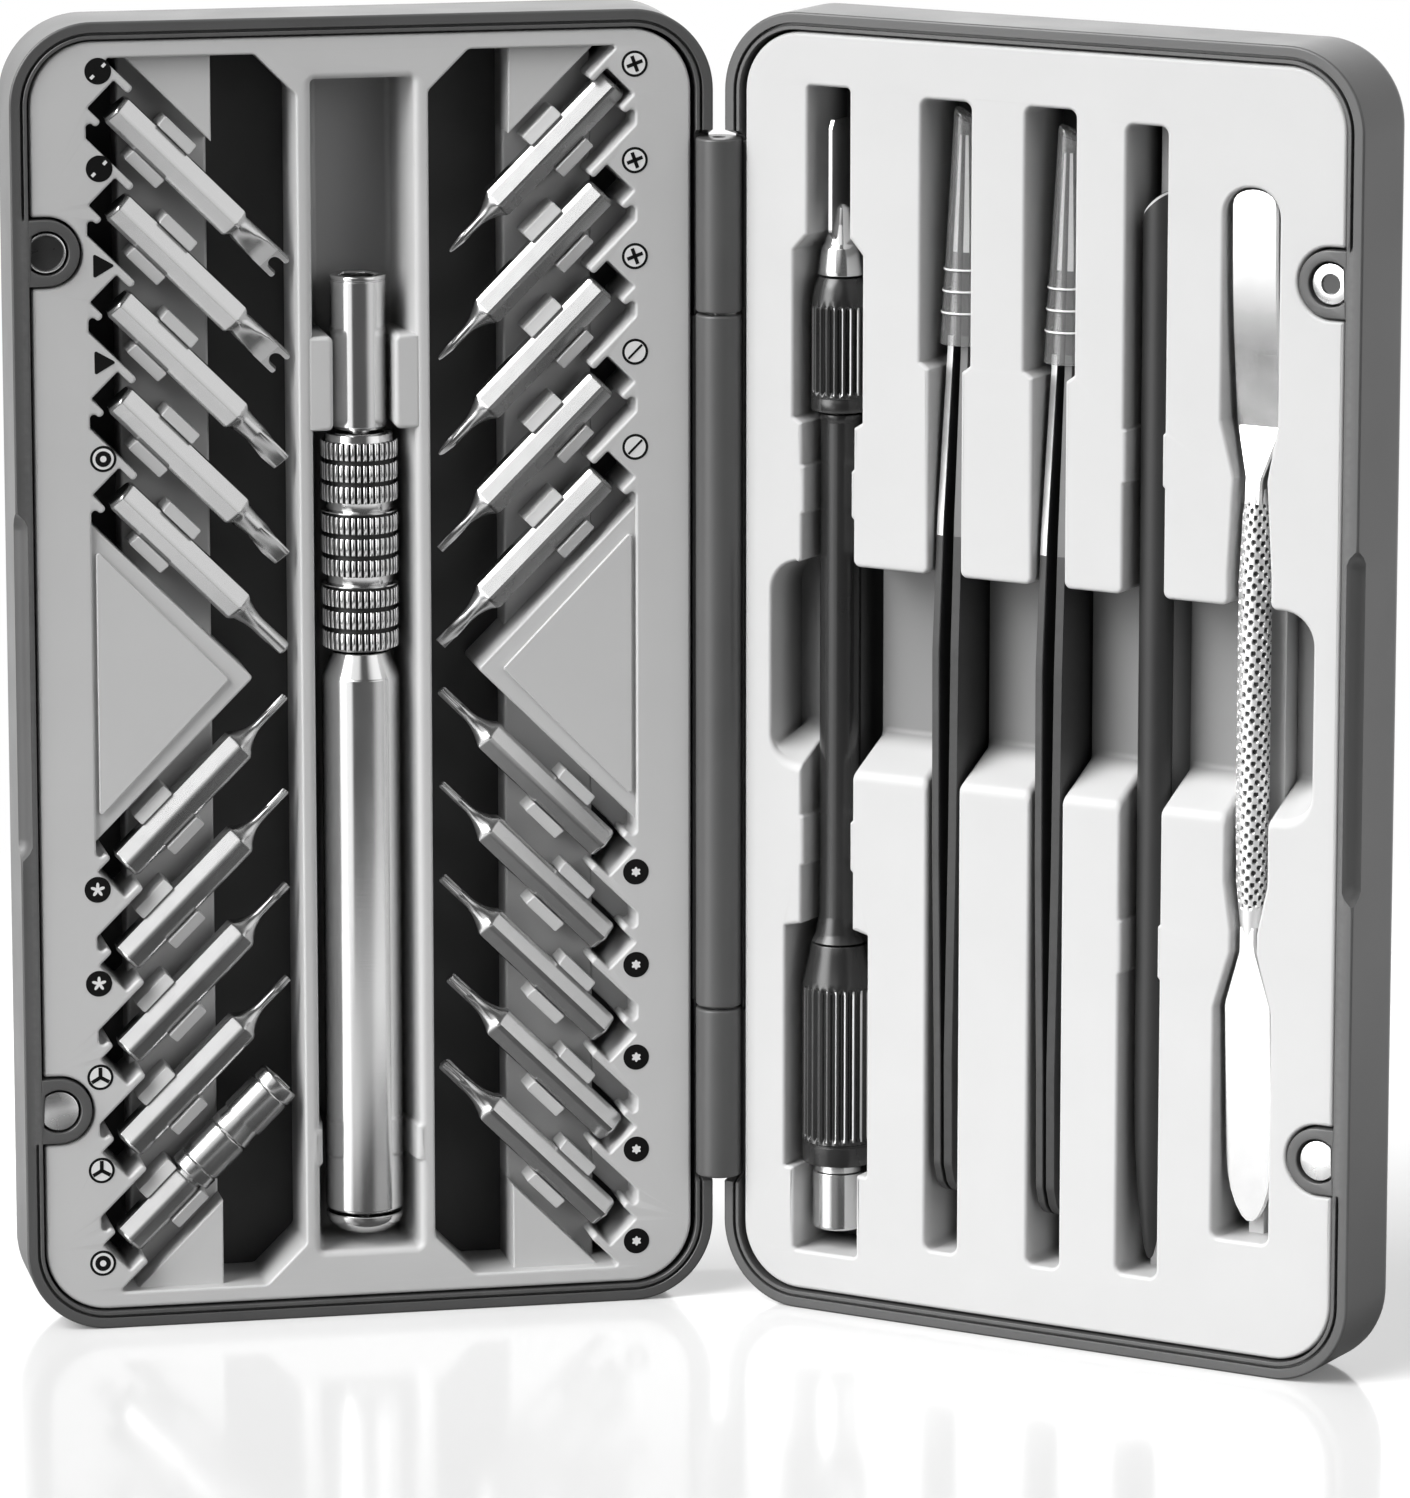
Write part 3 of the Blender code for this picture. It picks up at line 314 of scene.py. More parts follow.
class Skin:
    """Closed surfaces gathered into one piece, each face with the number of its finish."""

    def __init__(self) -> None:
        """Start with no surface."""
        self.points: list[np.ndarray] = []
        self.own: list[np.ndarray] = []
        self.faces: list[list[int]] = []
        self.marks: list[int] = []
        self.count = 0

    def add(self, points: np.ndarray, faces: Sequence[np.ndarray], seat: Seat | None = None,
            mark: int = 0) -> None:
        """Add one closed surface.

        Args:
            points: places (n, 3) on the surface's own axes, kept for the pattern of its finish.
            faces: blocks of faces, each (k, corners).
            seat: lays its own axes in the case half.
            mark: number of its finish.
        """
        self.points.append(points if seat is None else seat(points))
        self.own.append(points)
        for block in faces:
            self.faces.extend((np.asarray(block) + self.count).tolist())
            self.marks.extend([mark] * len(block))
        self.count += len(points)

    def loft(self, rings: np.ndarray, seat: Seat | None = None, mark: int = 0, closed: bool = False,
             marks: Sequence[int] = ()) -> Skin:
        """Join rings (m, n, 3) by faces and close both ends, or the last ring to the first.

        Args:
            rings: the rings in order.
            seat: lays its own axes in the case half.
            mark: number of its finish.
            closed: whether the last ring joins the first.
            marks: numbers of the finishes of its first faces, where they differ.

        Returns:
            The skin itself.
        """
        rows, count = rings.shape[:2]
        faces = [quads(rows, count, closed=closed)]
        if not closed:
            faces += [np.arange(count)[None, ::-1], np.arange(count)[None] + (rows - 1) * count]
        first = len(self.marks)
        self.add(rings.reshape(-1, 3), faces, seat, mark)
        self.marks[first: first + len(marks)] = marks
        return self

    def block(self, outline: np.ndarray, front: float | np.ndarray, back: float, lip: float,
              seat: Seat | None = None, mark: int = 0) -> None:
        """Raise an outline from the back to the front, with a quarter-round lip at the front.

        Args:
            outline: its edge, counter-clockwise.
            front: depth of its face, one for all points or one each.
            back: depth of its back.
            lip: radius of its front edge.
            seat: lays its own axes in the case half.
            mark: number of its finish.
        """
        self.loft(np.stack(lips(outline, front, lip, -1) + [lay(outline, back)]), seat, mark)

    def build(self, name: str, half: HalfFrame, finishes: Sequence[Finish], body: str, slot: str,
              *nodes: str) -> None:
        """Make the piece, with smooth faces, sharp edges and its own axes as an attribute, and report it.

        Args:
            name: name of the piece.
            half: frame of the case half that it lies in.
            finishes: its finishes in the order of the faces' marks.
            body: the CAD body that it rides on.
            slot: name of a material slot; not used.
            nodes: the CAD nodes that it stands for.
        """
        mesh = bpy.data.meshes.new(name)
        mesh.from_pydata(half.row(np.concatenate(self.points)).tolist(), [], self.faces)
        own = mesh.attributes.new("own", "FLOAT_VECTOR", "POINT")
        own.data.foreach_set("vector", np.concatenate(self.own).astype(np.float32).ravel())
        mesh.polygons.foreach_set("material_index", np.array(self.marks, np.int32))
        work = bmesh.new()
        work.from_mesh(mesh)
        bmesh.ops.recalc_face_normals(work, faces=work.faces)
        work.to_mesh(mesh)
        work.free()
        mesh.shade_smooth()
        mesh.set_sharp_from_angle(angle=SMOOTH_ANGLE)
        for finish in finishes:
            mesh.materials.append(finish.material())
        piece = bpy.data.objects.new(name, mesh)
        bpy.context.scene.collection.objects.link(piece)
        weighted = piece.modifiers.new("flat_faces", "WEIGHTED_NORMAL")
        weighted.keep_sharp = True
        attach(piece, body)
        if nodes:
            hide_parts(*nodes)
        log.info("%s on %s, %d faces", piece.name, body, len(piece.data.polygons))


@dataclass(frozen=True)
class Pocket:
    """Opening in a plate.

    Attributes:
        outline: its edge at the front, counter-clockwise.
        lip: radius of the rounded edge.
        floor: depth of its floor, or none for an opening right through.
        foot: its edge at the floor, with as many points, where the walls slant.
        cove: radius where the wall meets the floor.
    """

    outline: np.ndarray
    lip: float
    floor: float | None = None
    foot: np.ndarray | None = None
    cove: float = 0.5

    def rows(self, front: float, back: float) -> list[np.ndarray]:
        """Rings from the plate's front down to the floor or the back.

        Args:
            front: depth of the plate's face.
            back: depth of its back.

        Returns:
            Rings (n, 3), that of the face first.
        """
        rings = lips(self.outline, front, self.lip, 1)
        if self.floor is None:
            return rings + [lay(self.outline, back)]
        foot = self.outline if self.foot is None else self.foot
        return rings + [lay(offset(foot, -self.cove * inset), self.floor - self.cove * sink)
                        for sink, inset in QUARTER_ROUND]


@dataclass(frozen=True)
class RampedPocket:
    """Opening right through a plate, one side of which slopes like a ramp.

    Attributes:
        outline: its edge at the front, counter-clockwise.
        lip: radius of the rounded edge of its upright walls.
        ramp: depth and rise of each row of the ramp.
        share: how far each point of the outline belongs to the ramp.
    """

    outline: np.ndarray
    lip: float
    ramp: np.ndarray
    share: Callable[[np.ndarray], np.ndarray]
    floor: float | None = None

    def rows(self, front: float, back: float) -> list[np.ndarray]:
        """Rings from the plate's front to its back; walls widen at their lip by a quarter round.

        Args:
            front: depth of the plate's face.
            back: depth of its back.

        Returns:
            Rings (n, 3), that of the face first.
        """
        share = self.share(self.outline)
        rings = []
        for depth, rise in self.ramp:
            sunk = min(1.0, (depth - front) / self.lip)
            spread = offset(self.outline, self.lip * (1 - math.sqrt(1 - (1 - sunk) ** 2)))
            height = spread[:, 1] * (1 - share) + (self.outline[:, 1] + rise) * share
            rings.append(lay(np.stack([spread[:, 0], height], 1), depth))
        return rings + [rings[-1] * (1, 0, 1) + (0, back, 0)]


def fill(loops: Sequence[np.ndarray], firsts: Sequence[int]) -> np.ndarray:
    """Triangles over flat (x, y, z) loops, the later ones holes; firsts number each loop's points.

    Args:
        loops: the loops' points.
        firsts: number of each loop's first point.

    Returns:
        Corner numbers (k, 3).
    """
    flat = [[Vector((p[0], p[2], 0)) for p in loop] for loop in loops]
    numbers = np.concatenate([np.arange(len(loop)) + first for loop, first in zip(loops, firsts)])
    return numbers[np.array(tessellate_polygon(flat))]


def plate(skin: Skin, outline: np.ndarray, front: float, back: float, lip: float,
          pockets: Sequence[Pocket | RampedPocket]) -> None:
    """Add a flat plate with rounded edges and pockets to a skin.

    Args:
        skin: where the plate goes.
        outline: its edge, counter-clockwise.
        front: depth of its face.
        back: depth of its back.
        lip: radius of its front edge.
        pockets: openings, apart from each other and inside the edge.
    """
    stacks = [np.stack(lips(outline, front, lip, -1) + [lay(outline, back)])]
    stacks += [np.stack(pocket.rows(front, back)) for pocket in pockets]
    sizes = [stack.shape[0] * stack.shape[1] for stack in stacks]
    firsts = np.cumsum([0] + sizes)[:-1]
    lasts = [first + size - stack.shape[1] for first, size, stack in zip(firsts, sizes, stacks)]
    faces = [quads(*stack.shape[:2], first) for stack, first in zip(stacks, firsts)]
    faces.append(fill([stack[0] for stack in stacks], firsts))
    through = [0] + [k + 1 for k, pocket in enumerate(pockets) if pocket.floor is None]
    faces.append(fill([stacks[k][-1] for k in through], [lasts[k] for k in through]))
    faces += [fill([stacks[k + 1][-1]], [lasts[k + 1]])
              for k, pocket in enumerate(pockets) if pocket.floor is not None]
    skin.add(np.concatenate([stack.reshape(-1, 3) for stack in stacks]), faces)


@dataclass(frozen=True)
class HalfFrame:
    """Place of one case half in the row frame.

    Attributes:
        hinge: the hinge axis, (x, y) in metres.
        turn: angle of the half about it, in radians.
        side: which half it is.
        body: the CAD body that carries it.
    """

    hinge: tuple[float, float]
    turn: float
    side: Side
    body: str

    def row(self, points: np.ndarray) -> np.ndarray:
        """Turn millimetres of the half into metres of the row.

        Args:
            points: places (n, 3) on the half's axes.

        Returns:
            Places (n, 3) in the row frame.
        """
        cosine, sine = math.cos(self.turn), math.sin(self.turn)
        x = cosine * points[:, 0] - sine * points[:, 1]
        y = sine * points[:, 0] + cosine * points[:, 1]
        shifted = np.stack([x, y, points[:, 2]], 1) * MM
        return shifted + np.array([*self.hinge, 0.0])

    def mirror(self, outline: np.ndarray, centre: float = 0.0) -> np.ndarray:
        """Lay an outline of (reach, height) points on this half's side of a centre line."""
        return forward(np.stack([centre + self.side.value * outline[:, 0], outline[:, 1]], 1))

    @classmethod
    def from_joints(cls, joints: Sequence[dict], side: Side, lift: str, body: str) -> "HalfFrame":
        """Read the hinge and the half's turn from the record's joints.

        Args:
            joints: the record's joints.
            side: which half it is.
            lift: a joint that lifts a piece straight out of the half.
            body: the CAD body that carries the half.

        Returns:
            The half's frame.
        """
        by_name = {joint["name"]: joint for joint in joints}
        hinge = by_name["case_hinge"]["pos_m"]
        normal = by_name[lift]["axis"]
        return cls((hinge[0], hinge[1]), math.atan2(normal[0], -normal[1]), side, body)


# Finishes


Socket = bpy.types.NodeSocket
Tree = bpy.types.NodeTree


def grey(level: float) -> tuple[float, float, float, float]:
    """A neutral colour, no lighter than white."""
    return (min(1.0, level),) * 3 + (1.0,)


def feed(tree: Tree, node: bpy.types.Node, inputs: dict[str | int, Socket | float | Sequence[float]]) -> None:
    """Set the inputs of a shader node.

    Args:
        tree: where the node is.
        node: the node.
        inputs: for each input, the socket that it is linked to or its value.
    """
    for key, value in inputs.items():
        if isinstance(value, bpy.types.NodeSocket):
            tree.links.new(value, node.inputs[key])
        else:
            node.inputs[key].default_value = value


def wired(tree: Tree, kind: str, inputs: dict[str | int, Socket | float | Sequence[float]],
          output: str | int = 0, **settings: str | Tree) -> Socket:
    """Add a shader node.

    Args:
        tree: where it goes.
        kind: its type, without the first words that all types share.
        inputs: for each input, the socket that it is linked to or its value.
        output: which of its outputs is wanted.
        settings: its other properties.

    Returns:
        The socket of that output.
    """
    node = tree.nodes.new("ShaderNode" + kind)
    for key, value in settings.items():
        setattr(node, key, value)
    feed(tree, node, inputs)
    return node.outputs[output]


def calc(tree: Tree, operation: str, first: Socket, second: Socket | float) -> Socket:
    """One Math node on two values."""
    return wired(tree, "Math", {0: first, 1: second}, operation=operation)


def blend(tree: Tree, factor: Socket, first: Sequence[float] | Socket, second: Sequence[float]) -> Socket:
    """Blend a colour or a socket with a colour by a mask."""
    return wired(tree, "Mix", {0: factor, 6: first, 7: second}, 2, data_type="RGBA")


def band(tree: Tree, value: Socket, span: Sequence[Socket | float], levels: tuple[float, float]) -> Socket:
    """Smooth step of a value over a span, between two levels."""
    inputs = dict(zip(("Value", "From Min", "From Max", "To Min", "To Max"), (value, *span, *levels)))
    return wired(tree, "MapRange", inputs, "Result", interpolation_type="SMOOTHSTEP")


def own_axes(tree: Tree) -> Socket:
    """The piece's own axes in millimetres, as kept in its attribute."""
    return wired(tree, "Attribute", {}, "Vector", attribute_name="own")


def noise(tree: Tree, scale: Sequence[float], detail: float) -> Socket:
    """Noise on the piece's own axes, each scaled."""
    place = wired(tree, "VectorMath", {0: own_axes(tree), 1: scale}, operation="MULTIPLY")
    return wired(tree, "TexNoise", {"Vector": place, "Scale": 1.0, "Detail": detail}, "Fac")


def group(name: str, inputs: dict[str, float],
          outputs: Sequence[str]) -> tuple[Tree, bpy.types.Node, bpy.types.Node]:
    """Start a shader node group of plain values.

    Args:
        name: name of the group.
        inputs: names and first values of its inputs.
        outputs: names of its outputs.

    Returns:
        The tree, its input node and its output node.
    """
    tree = bpy.data.node_groups.new(name, "ShaderNodeTree")
    for label, value in inputs.items():
        tree.interface.new_socket(label, in_out="INPUT", socket_type="NodeSocketFloat").default_value = value
    for label in outputs:
        tree.interface.new_socket(label, in_out="OUTPUT", socket_type="NodeSocketFloat")
    return tree, tree.nodes.new("NodeGroupInput"), tree.nodes.new("NodeGroupOutput")


class Pattern(Enum):
    """The shared surface effects: scale and detail of a fine noise, then of a wide one.

    Moulded plastic has a fine grain and flow clouds, turned metal has lines round it and smears along
    it, and ground metal has lines along it and soft stains.
    """

    MOULDED = (((9.0, 9.0, 9.0), 3.0), ((0.09, 0.09, 0.09), 2.0))
    LATHE = (((0.25, 0.25, 9.0), 3.0), ((0.5, 0.5, 0.12), 2.0))
    GROUND = (((11.0, 11.0, 0.5), 3.0), ((0.35, 0.35, 0.35), 3.0))


@cache
def surface_marks(pattern: Pattern) -> Tree:
    """Group of a pattern's fine and wide noise on the piece's own axes.

    Args:
        pattern: the pattern, which gives the group its name.

    Returns:
        The group.
    """
    tree, _, out = group(pattern.name, {}, ("Fine", "Wide"))
    feed(tree, out, dict(zip(("Fine", "Wide"), (noise(tree, *part) for part in pattern.value))))
    return tree


@cache
def pocket_shade() -> Tree:
    """Mask of painted shade deep in a tray: it rises from one depth below the face to another.

    Returns:
        The group.
    """
    tree, given, out = group("pocket_shade", {"Start": 2.0, "End": 6.0}, ("Mask",))
    depth = wired(tree, "SeparateXYZ", {0: own_axes(tree)}, "Y")
    feed(tree, out, {"Mask": band(tree, depth, (given.outputs["Start"], given.outputs["End"]), (0.0, 1.0))})
    return tree


@cache
def edge_rub() -> Tree:
    """Mask of convex edges that handling has rubbed bright, broken up by a fine noise.

    Returns:
        The group.
    """
    tree, _, out = group("edge_rub", {}, ("Mask",))
    convex = wired(tree, "NewGeometry", {}, "Pointiness")
    ramp = wired(tree, "MapRange", {"Value": convex, "From Min": 0.53, "From Max": 0.62}, "Result")
    feed(tree, out, {"Mask": calc(tree, "MULTIPLY", ramp, noise(tree, (1.3, 1.3, 1.3), 3.0))})
    return tree


@dataclass(frozen=True)
class Finish:
    """One finish of the set.

    Attributes:
        name: name of its material.
        level: its grey, linear.
        roughness: middle of its roughness.
        pattern: which surface effect it has.
        spread: how far its roughness varies.
        tone: how far its grey varies, as a share.
        bump: height of the fine effect in millimetres.
        metallic: 1 for a metal.
        rub: how far rubbed edges lighten.
        coat: weight of a clear coat.
        transmission: 1 for clear plastic.
        sunk: how much painted shade darkens it deep in a tray, as a share.
        shade: depths in millimetres between which the painted shade darkens it.
        specular: level of its mirror reflection.
    """

    name: str
    level: float
    roughness: float
    pattern: Pattern
    spread: float = 0.12
    tone: float = 0.08
    bump: float = 0.004
    metallic: float = 0.0
    rub: float = 0.0
    coat: float = 0.0
    transmission: float = 0.0
    sunk: float = 0.0
    shade: tuple[float, float] = (2.0, 6.0)
    specular: float = 0.5

    @cache
    def material(self) -> bpy.types.Material:
        """Make the material at its first use.

        Returns:
            A Principled material whose colour, roughness and normal follow the pattern.
        """
        made = bpy.data.materials.new(self.name)
        made.use_nodes = True
        tree = made.node_tree
        fine = wired(tree, "Group", {}, "Fine", node_tree=surface_marks(self.pattern))
        wide = fine.node.outputs["Wide"]
        levels = {"To Min": self.roughness - self.spread, "To Max": self.roughness + self.spread}
        rough = wired(tree, "MapRange", {"Value": wide, **levels}, "Result")
        colour = blend(tree, wide, grey(self.level * (1 - self.tone)), grey(self.level * (1 + self.tone)))
        if self.rub:
            mask = wired(tree, "Group", {}, "Mask", node_tree=edge_rub())
            colour = blend(tree, mask, colour, grey(self.level + self.rub))
        # Painted shade: the colour darkens deep in a tray, standing in for the shade in its pockets.
        if self.sunk:
            span = dict(zip(("Start", "End"), self.shade))
            mask = wired(tree, "Group", span, "Mask", node_tree=pocket_shade())
            colour = blend(tree, mask, colour, grey(self.level * (1 - self.sunk)))
        bump = wired(tree, "Bump", {"Distance": self.bump * MM, "Height": fine}, "Normal")
        feed(tree, tree.nodes["Principled BSDF"], {
            "Base Color": colour, "Roughness": rough, "Normal": bump, "Metallic": self.metallic,
            "Coat Weight": self.coat, "Transmission Weight": self.transmission,
            "Specular IOR Level": self.specular})
        return made


SHELL_BLACK = Finish("shell_satin_black", 0.08, 0.36, Pattern.MOULDED, 0.08, 0.12, 0.006, rub=0.05)
# Painted shade: the shell's inner floor, seen through the tray, is darker than the rest of the shell.
SHELL_FLOOR_SHADE = Finish("shell_floor_black", 0.035, 0.55, Pattern.MOULDED, 0.08, 0.15, 0.006)
# Both trays carry painted shade: their colour darkens with depth, by sunk between the shade depths.
TRAY_GREY = Finish("bit_tray_grey", 0.53, 0.38, Pattern.MOULDED, 0.05, 0.03, 0.005, sunk=0.4, shade=(5.4, 8.4))
TOOL_TRAY_GREY = Finish("tool_tray_grey", 0.56, 0.38, Pattern.MOULDED, 0.05, 0.03, 0.005, sunk=0.93,
                        shade=(5.0, 10.4), specular=0.2)
PRINT_BLACK = Finish("print_black", 0.006, 0.6, Pattern.MOULDED, 0.08, 0.3, 0.002, specular=0.1)
PRINT_WHITE = Finish("print_white", 0.72, 0.5, Pattern.MOULDED, 0.08, 0.08, 0.002)
MAGNET_PLATE = Finish("magnet_plating", 0.7, 0.26, Pattern.GROUND, 0.12, 0.12, 0.002, 1.0)
# Painted reflection: a dark finish for the upper magnets' dish.
MAGNET_DARK_REFLECTION = Finish("magnet_core", 0.05, 0.3, Pattern.GROUND, 0.1, 0.3, 0.002, 0.5)
BIT_STEEL = Finish("bit_steel", 0.48, 0.24, Pattern.GROUND, 0.03, 0.04, 0.0006, 1.0)
# Painted reflection: a darker steel for one facet of some bits.
BIT_FACET_REFLECTION = Finish("bit_dark_facet", 0.2, 0.27, Pattern.GROUND, 0.03, 0.04, 0.0006, 1.0)
CHUCK_STEEL = Finish("chuck_steel", 0.66, 0.16, Pattern.LATHE, 0.05, 0.05, 0.0012, 1.0)
ALLOY = Finish("driver_alloy", 0.68, 0.15, Pattern.LATHE, 0.05, 0.04, 0.0012, 1.0)
# Painted shade in the driver grip's grooves.
GROOVE_SHADE = Finish("driver_groove", 0.02, 0.5, Pattern.LATHE, 0.05, 0.2, 0.0012, 0.5)
COLLET_STEEL = Finish("collet_steel", 0.72, 0.18, Pattern.LATHE, 0.05, 0.05, 0.001, 1.0)
KNIFE_BLACK = Finish("knife_black", 0.018, 0.25, Pattern.LATHE, 0.05, 0.2, 0.0012, 0.0, 0.05, 0.2)
# Painted highlight for one side of the knife's ribs.
RIB_HIGHLIGHT = Finish("knife_rib_edge", 0.6, 0.3, Pattern.LATHE, 0.05, 0.1, 0.001, 1.0)
TWEEZER_BLACK = Finish("tweezer_black", 0.04, 0.42, Pattern.GROUND, 0.08, 0.25, 0.002, 0.0, 0.04)
TWEEZER_BARE = Finish("tweezer_bare_steel", 0.86, 0.36, Pattern.GROUND, 0.08, 0.1, 0.002, 1.0)
# Painted shade: a darker copy of the bare steel, for the right arm's strip.
TWEEZER_BARE_SHADE = Finish("tweezer_dull_steel", 0.16, 0.45, Pattern.GROUND, 0.08, 0.1, 0.002, 0.3)
# Painted highlight: a near-white finish for the tweezer tips.
TWEEZER_TIP_HIGHLIGHT = Finish("tweezer_tip_steel", 0.92, 0.4, Pattern.GROUND, 0.05, 0.05, 0.001, 0.3)
# Painted highlight: white for the crests of the clear cap's ribs.
CAP_RIB_HIGHLIGHT = Finish("cap_rib_gloss", 0.85, 0.2, Pattern.MOULDED, 0.02, 0.02, 0.001)
CLEAR = Finish("cap_clear_plastic", 0.96, 0.07, Pattern.MOULDED, 0.02, 0.02, 0.001, transmission=0.93)
NYLON = Finish("spudger_black_nylon", 0.02, 0.5, Pattern.MOULDED, 0.08, 0.25, 0.006, rub=0.03)
# Painted highlight: a light finish for the spudger head's cut edge.
NYLON_EDGE_HIGHLIGHT = Finish("spudger_worn_edge", 0.5, 0.4, Pattern.MOULDED, 0.08, 0.1, 0.006)
PRY_STEEL = Finish("pry_steel", 0.74, 0.17, Pattern.GROUND, 0.04, 0.04, 0.001, 1.0)
PRY_GRIP = Finish("pry_grip_steel", 0.86, 0.5, Pattern.GROUND, 0.06, 0.06, 0.002, 1.0)
# Painted shade: a dark finish for the pits of the pry tool's grip.
PRY_PIT_SHADE = Finish("pry_grip_pits", 0.05, 0.5, Pattern.GROUND, 0.08, 0.3, 0.002, 0.5)


# Case


@dataclass
class CaseShell:
    """Half shell: rim with its groove, finger scoop, magnet lugs and hinge knuckles."""

    half: HalfFrame
    name: str
    own_knuckles: Sequence[tuple[float, float]]
    groove_inset: float = 1.3
    groove_width: float = 0.35
    groove_depth: float = 0.8
    rim_ease: float = 0.3
    back_radius: float = 2.5
    scoop_radius: float = 2.35
    scoop_out: float = 0.9
    scoop_half: float = 21.4
    barrel_room: float = 3.1
    bore_radius: float = 2.7
    bore_depth: float = 2.6

    def build(self) -> None:
        """Make the shell and let it stand for its node."""
        skin = Skin()
        self.tub(skin)
        for up in (-1, 1):
            self.lug(skin, MID + up * LUG_RISE)
        for low, high in self.own_knuckles:
            self.knuckle(skin, low, high)
        skin.build(self.name + "_case", self.half, [SHELL_BLACK, SHELL_FLOOR_SHADE], self.half.body, "shell_plastic",
                   self.name)

    def tub(self, skin: Skin) -> None:
        """Sweep the wall's profile round the outline; the floor inside is painted darker, as painted shade.

        Every row is an inset and a depth for each point of the outline. Along the ends the rim has
        its groove, on the outer side it gives way to a round scoop, and at the hinge it drops to
        the circle that leaves room for the barrel.

        Args:
            skin: where it goes.
        """
        path = densify(box(HINGE_GAP, HALF_REACH, 0, 2 * MID, CORNER, 4.0), 0.8)
        x, z = path.T
        rise = np.abs(z - MID)
        hinge = (x < HINGE_GAP + CORNER / 2) & (rise < BARREL_HALF + FIT)
        outer = (x > HALF_REACH - 0.1) & (rise < LUG_RISE + LUG_RADIUS + FIT)
        groove = np.where(hinge | outer, 0.0, 1.0)
        scoop = np.where(x > HALF_REACH - 0.1, ease((self.scoop_half - rise) / 1.6), 0.0)
        rows = self.rows(groove, scoop)
        rings = []
        for inset, depth in rows:
            along = HINGE_GAP + inset
            room = np.sqrt(np.maximum(self.barrel_room ** 2 - along ** 2, 0))
            depth = np.where(hinge, np.maximum(depth, room), depth)
            rings.append(lay(offset(path, -inset), depth))
        rings = np.stack(rings)
        rings[:, :, 0] *= self.half.side.value
        skin.loft(rings)
        # Painted shade: the inner floor's cap takes the darker finish.
        skin.marks[-2] = 1

    def rows(self, groove: np.ndarray, scoop: np.ndarray) -> list[tuple[np.ndarray, np.ndarray]]:
        """Insets and depths of the wall's profile from its inner floor round to its back.

        Args:
            groove: share of the groove at each point of the outline.
            scoop: share of the scoop at each point.

        Returns:
            Inset and depth of each row, at each point.
        """
        flat = np.zeros_like(groove)
        edge = 0.06
        reach = self.scoop_radius - self.scoop_out
        start, end = self.groove_inset, self.groove_inset + self.groove_width
        land = [(WALL, flat + FLOOR_FRONT), (WALL, flat + RIM + edge), (WALL - edge, flat + RIM)]
        lips = [(end + edge, 0.0), (end, edge), (end, self.groove_depth), (start, self.groove_depth)]
        land += [(inset, RIM + drop * groove) for inset, drop in lips + [(start, edge), (start - edge, 0.0)]]
        rows = []
        for number, (inset, depth) in enumerate(land):
            clear = (reach + 0.02 * (len(land) - number)) * scoop
            rows.append((np.maximum(flat + inset, clear), depth))
        angle = np.linspace(0, np.pi / 2, 7)
        ends = math.acos(self.scoop_out / self.scoop_radius)
        for turn in angle:
            plain = (self.rim_ease * (1 - math.sin(turn)), RIM + self.rim_ease * (1 - math.cos(turn)))
            swing = ends * turn / (np.pi / 2)
            cut = (self.scoop_radius * math.cos(swing) - self.scoop_out,
                   RIM + self.scoop_radius * math.sin(swing))
            rows.append(tuple(p * (1 - scoop) + c * scoop for p, c in zip(plain, cut)))
        for turn in np.linspace(0, np.pi / 2, 9):
            inset = self.back_radius * (1 - math.cos(turn))
            depth = HALF_DEPTH - self.back_radius * (1 - math.sin(turn))
            rows.append((flat + inset, flat + depth))
        return rows

    def lug(self, skin: Skin, z: float) -> None:
        """Half-round lug with the recess of its magnet.

        Args:
            skin: where it goes.
            z: height of its middle.
        """
        inner = LUG_REACH - LUG_RADIUS
        ends = HALF_REACH - WALL + 0.1
        corners = [(inner, z - LUG_RADIUS, LUG_RADIUS - 0.01), (ends, z - LUG_RADIUS)]
        corners += [(ends, z + LUG_RADIUS), (inner, z + LUG_RADIUS, LUG_RADIUS - 0.01)]
        outline = self.half.mirror(fillet(corners, 6.0))
        bore = self.half.mirror(circle(LUG_REACH, z, self.bore_radius))
        recess = Pocket(bore, 0.15, self.bore_depth, cove=0.1)
        plate(skin, outline, RIM + 0.01, HALF_DEPTH - 0.5, 0.2, [recess])

    def knuckle(self, skin: Skin, low: float, high: float) -> None:
        """Turned knuckle with eased ends, joined to the wall by a web.

        Args:
            skin: where it goes.
            low: its foot.
            high: its head.
        """
        radius = BARREL_RADIUS
        profile = [(0.85, low), (radius, low, 0.3), (radius, high, 0.3), (0.85, high)]
        skin.loft(turned(rounded(profile), 72), closed=True)
        foot, head = low + 0.4, high - 0.4
        web = self.half.mirror(fillet([(0.9, foot), (3.0, foot), (3.0, head), (0.9, head)]))
        skin.block(web, 1.3, 4.5, 0.2)


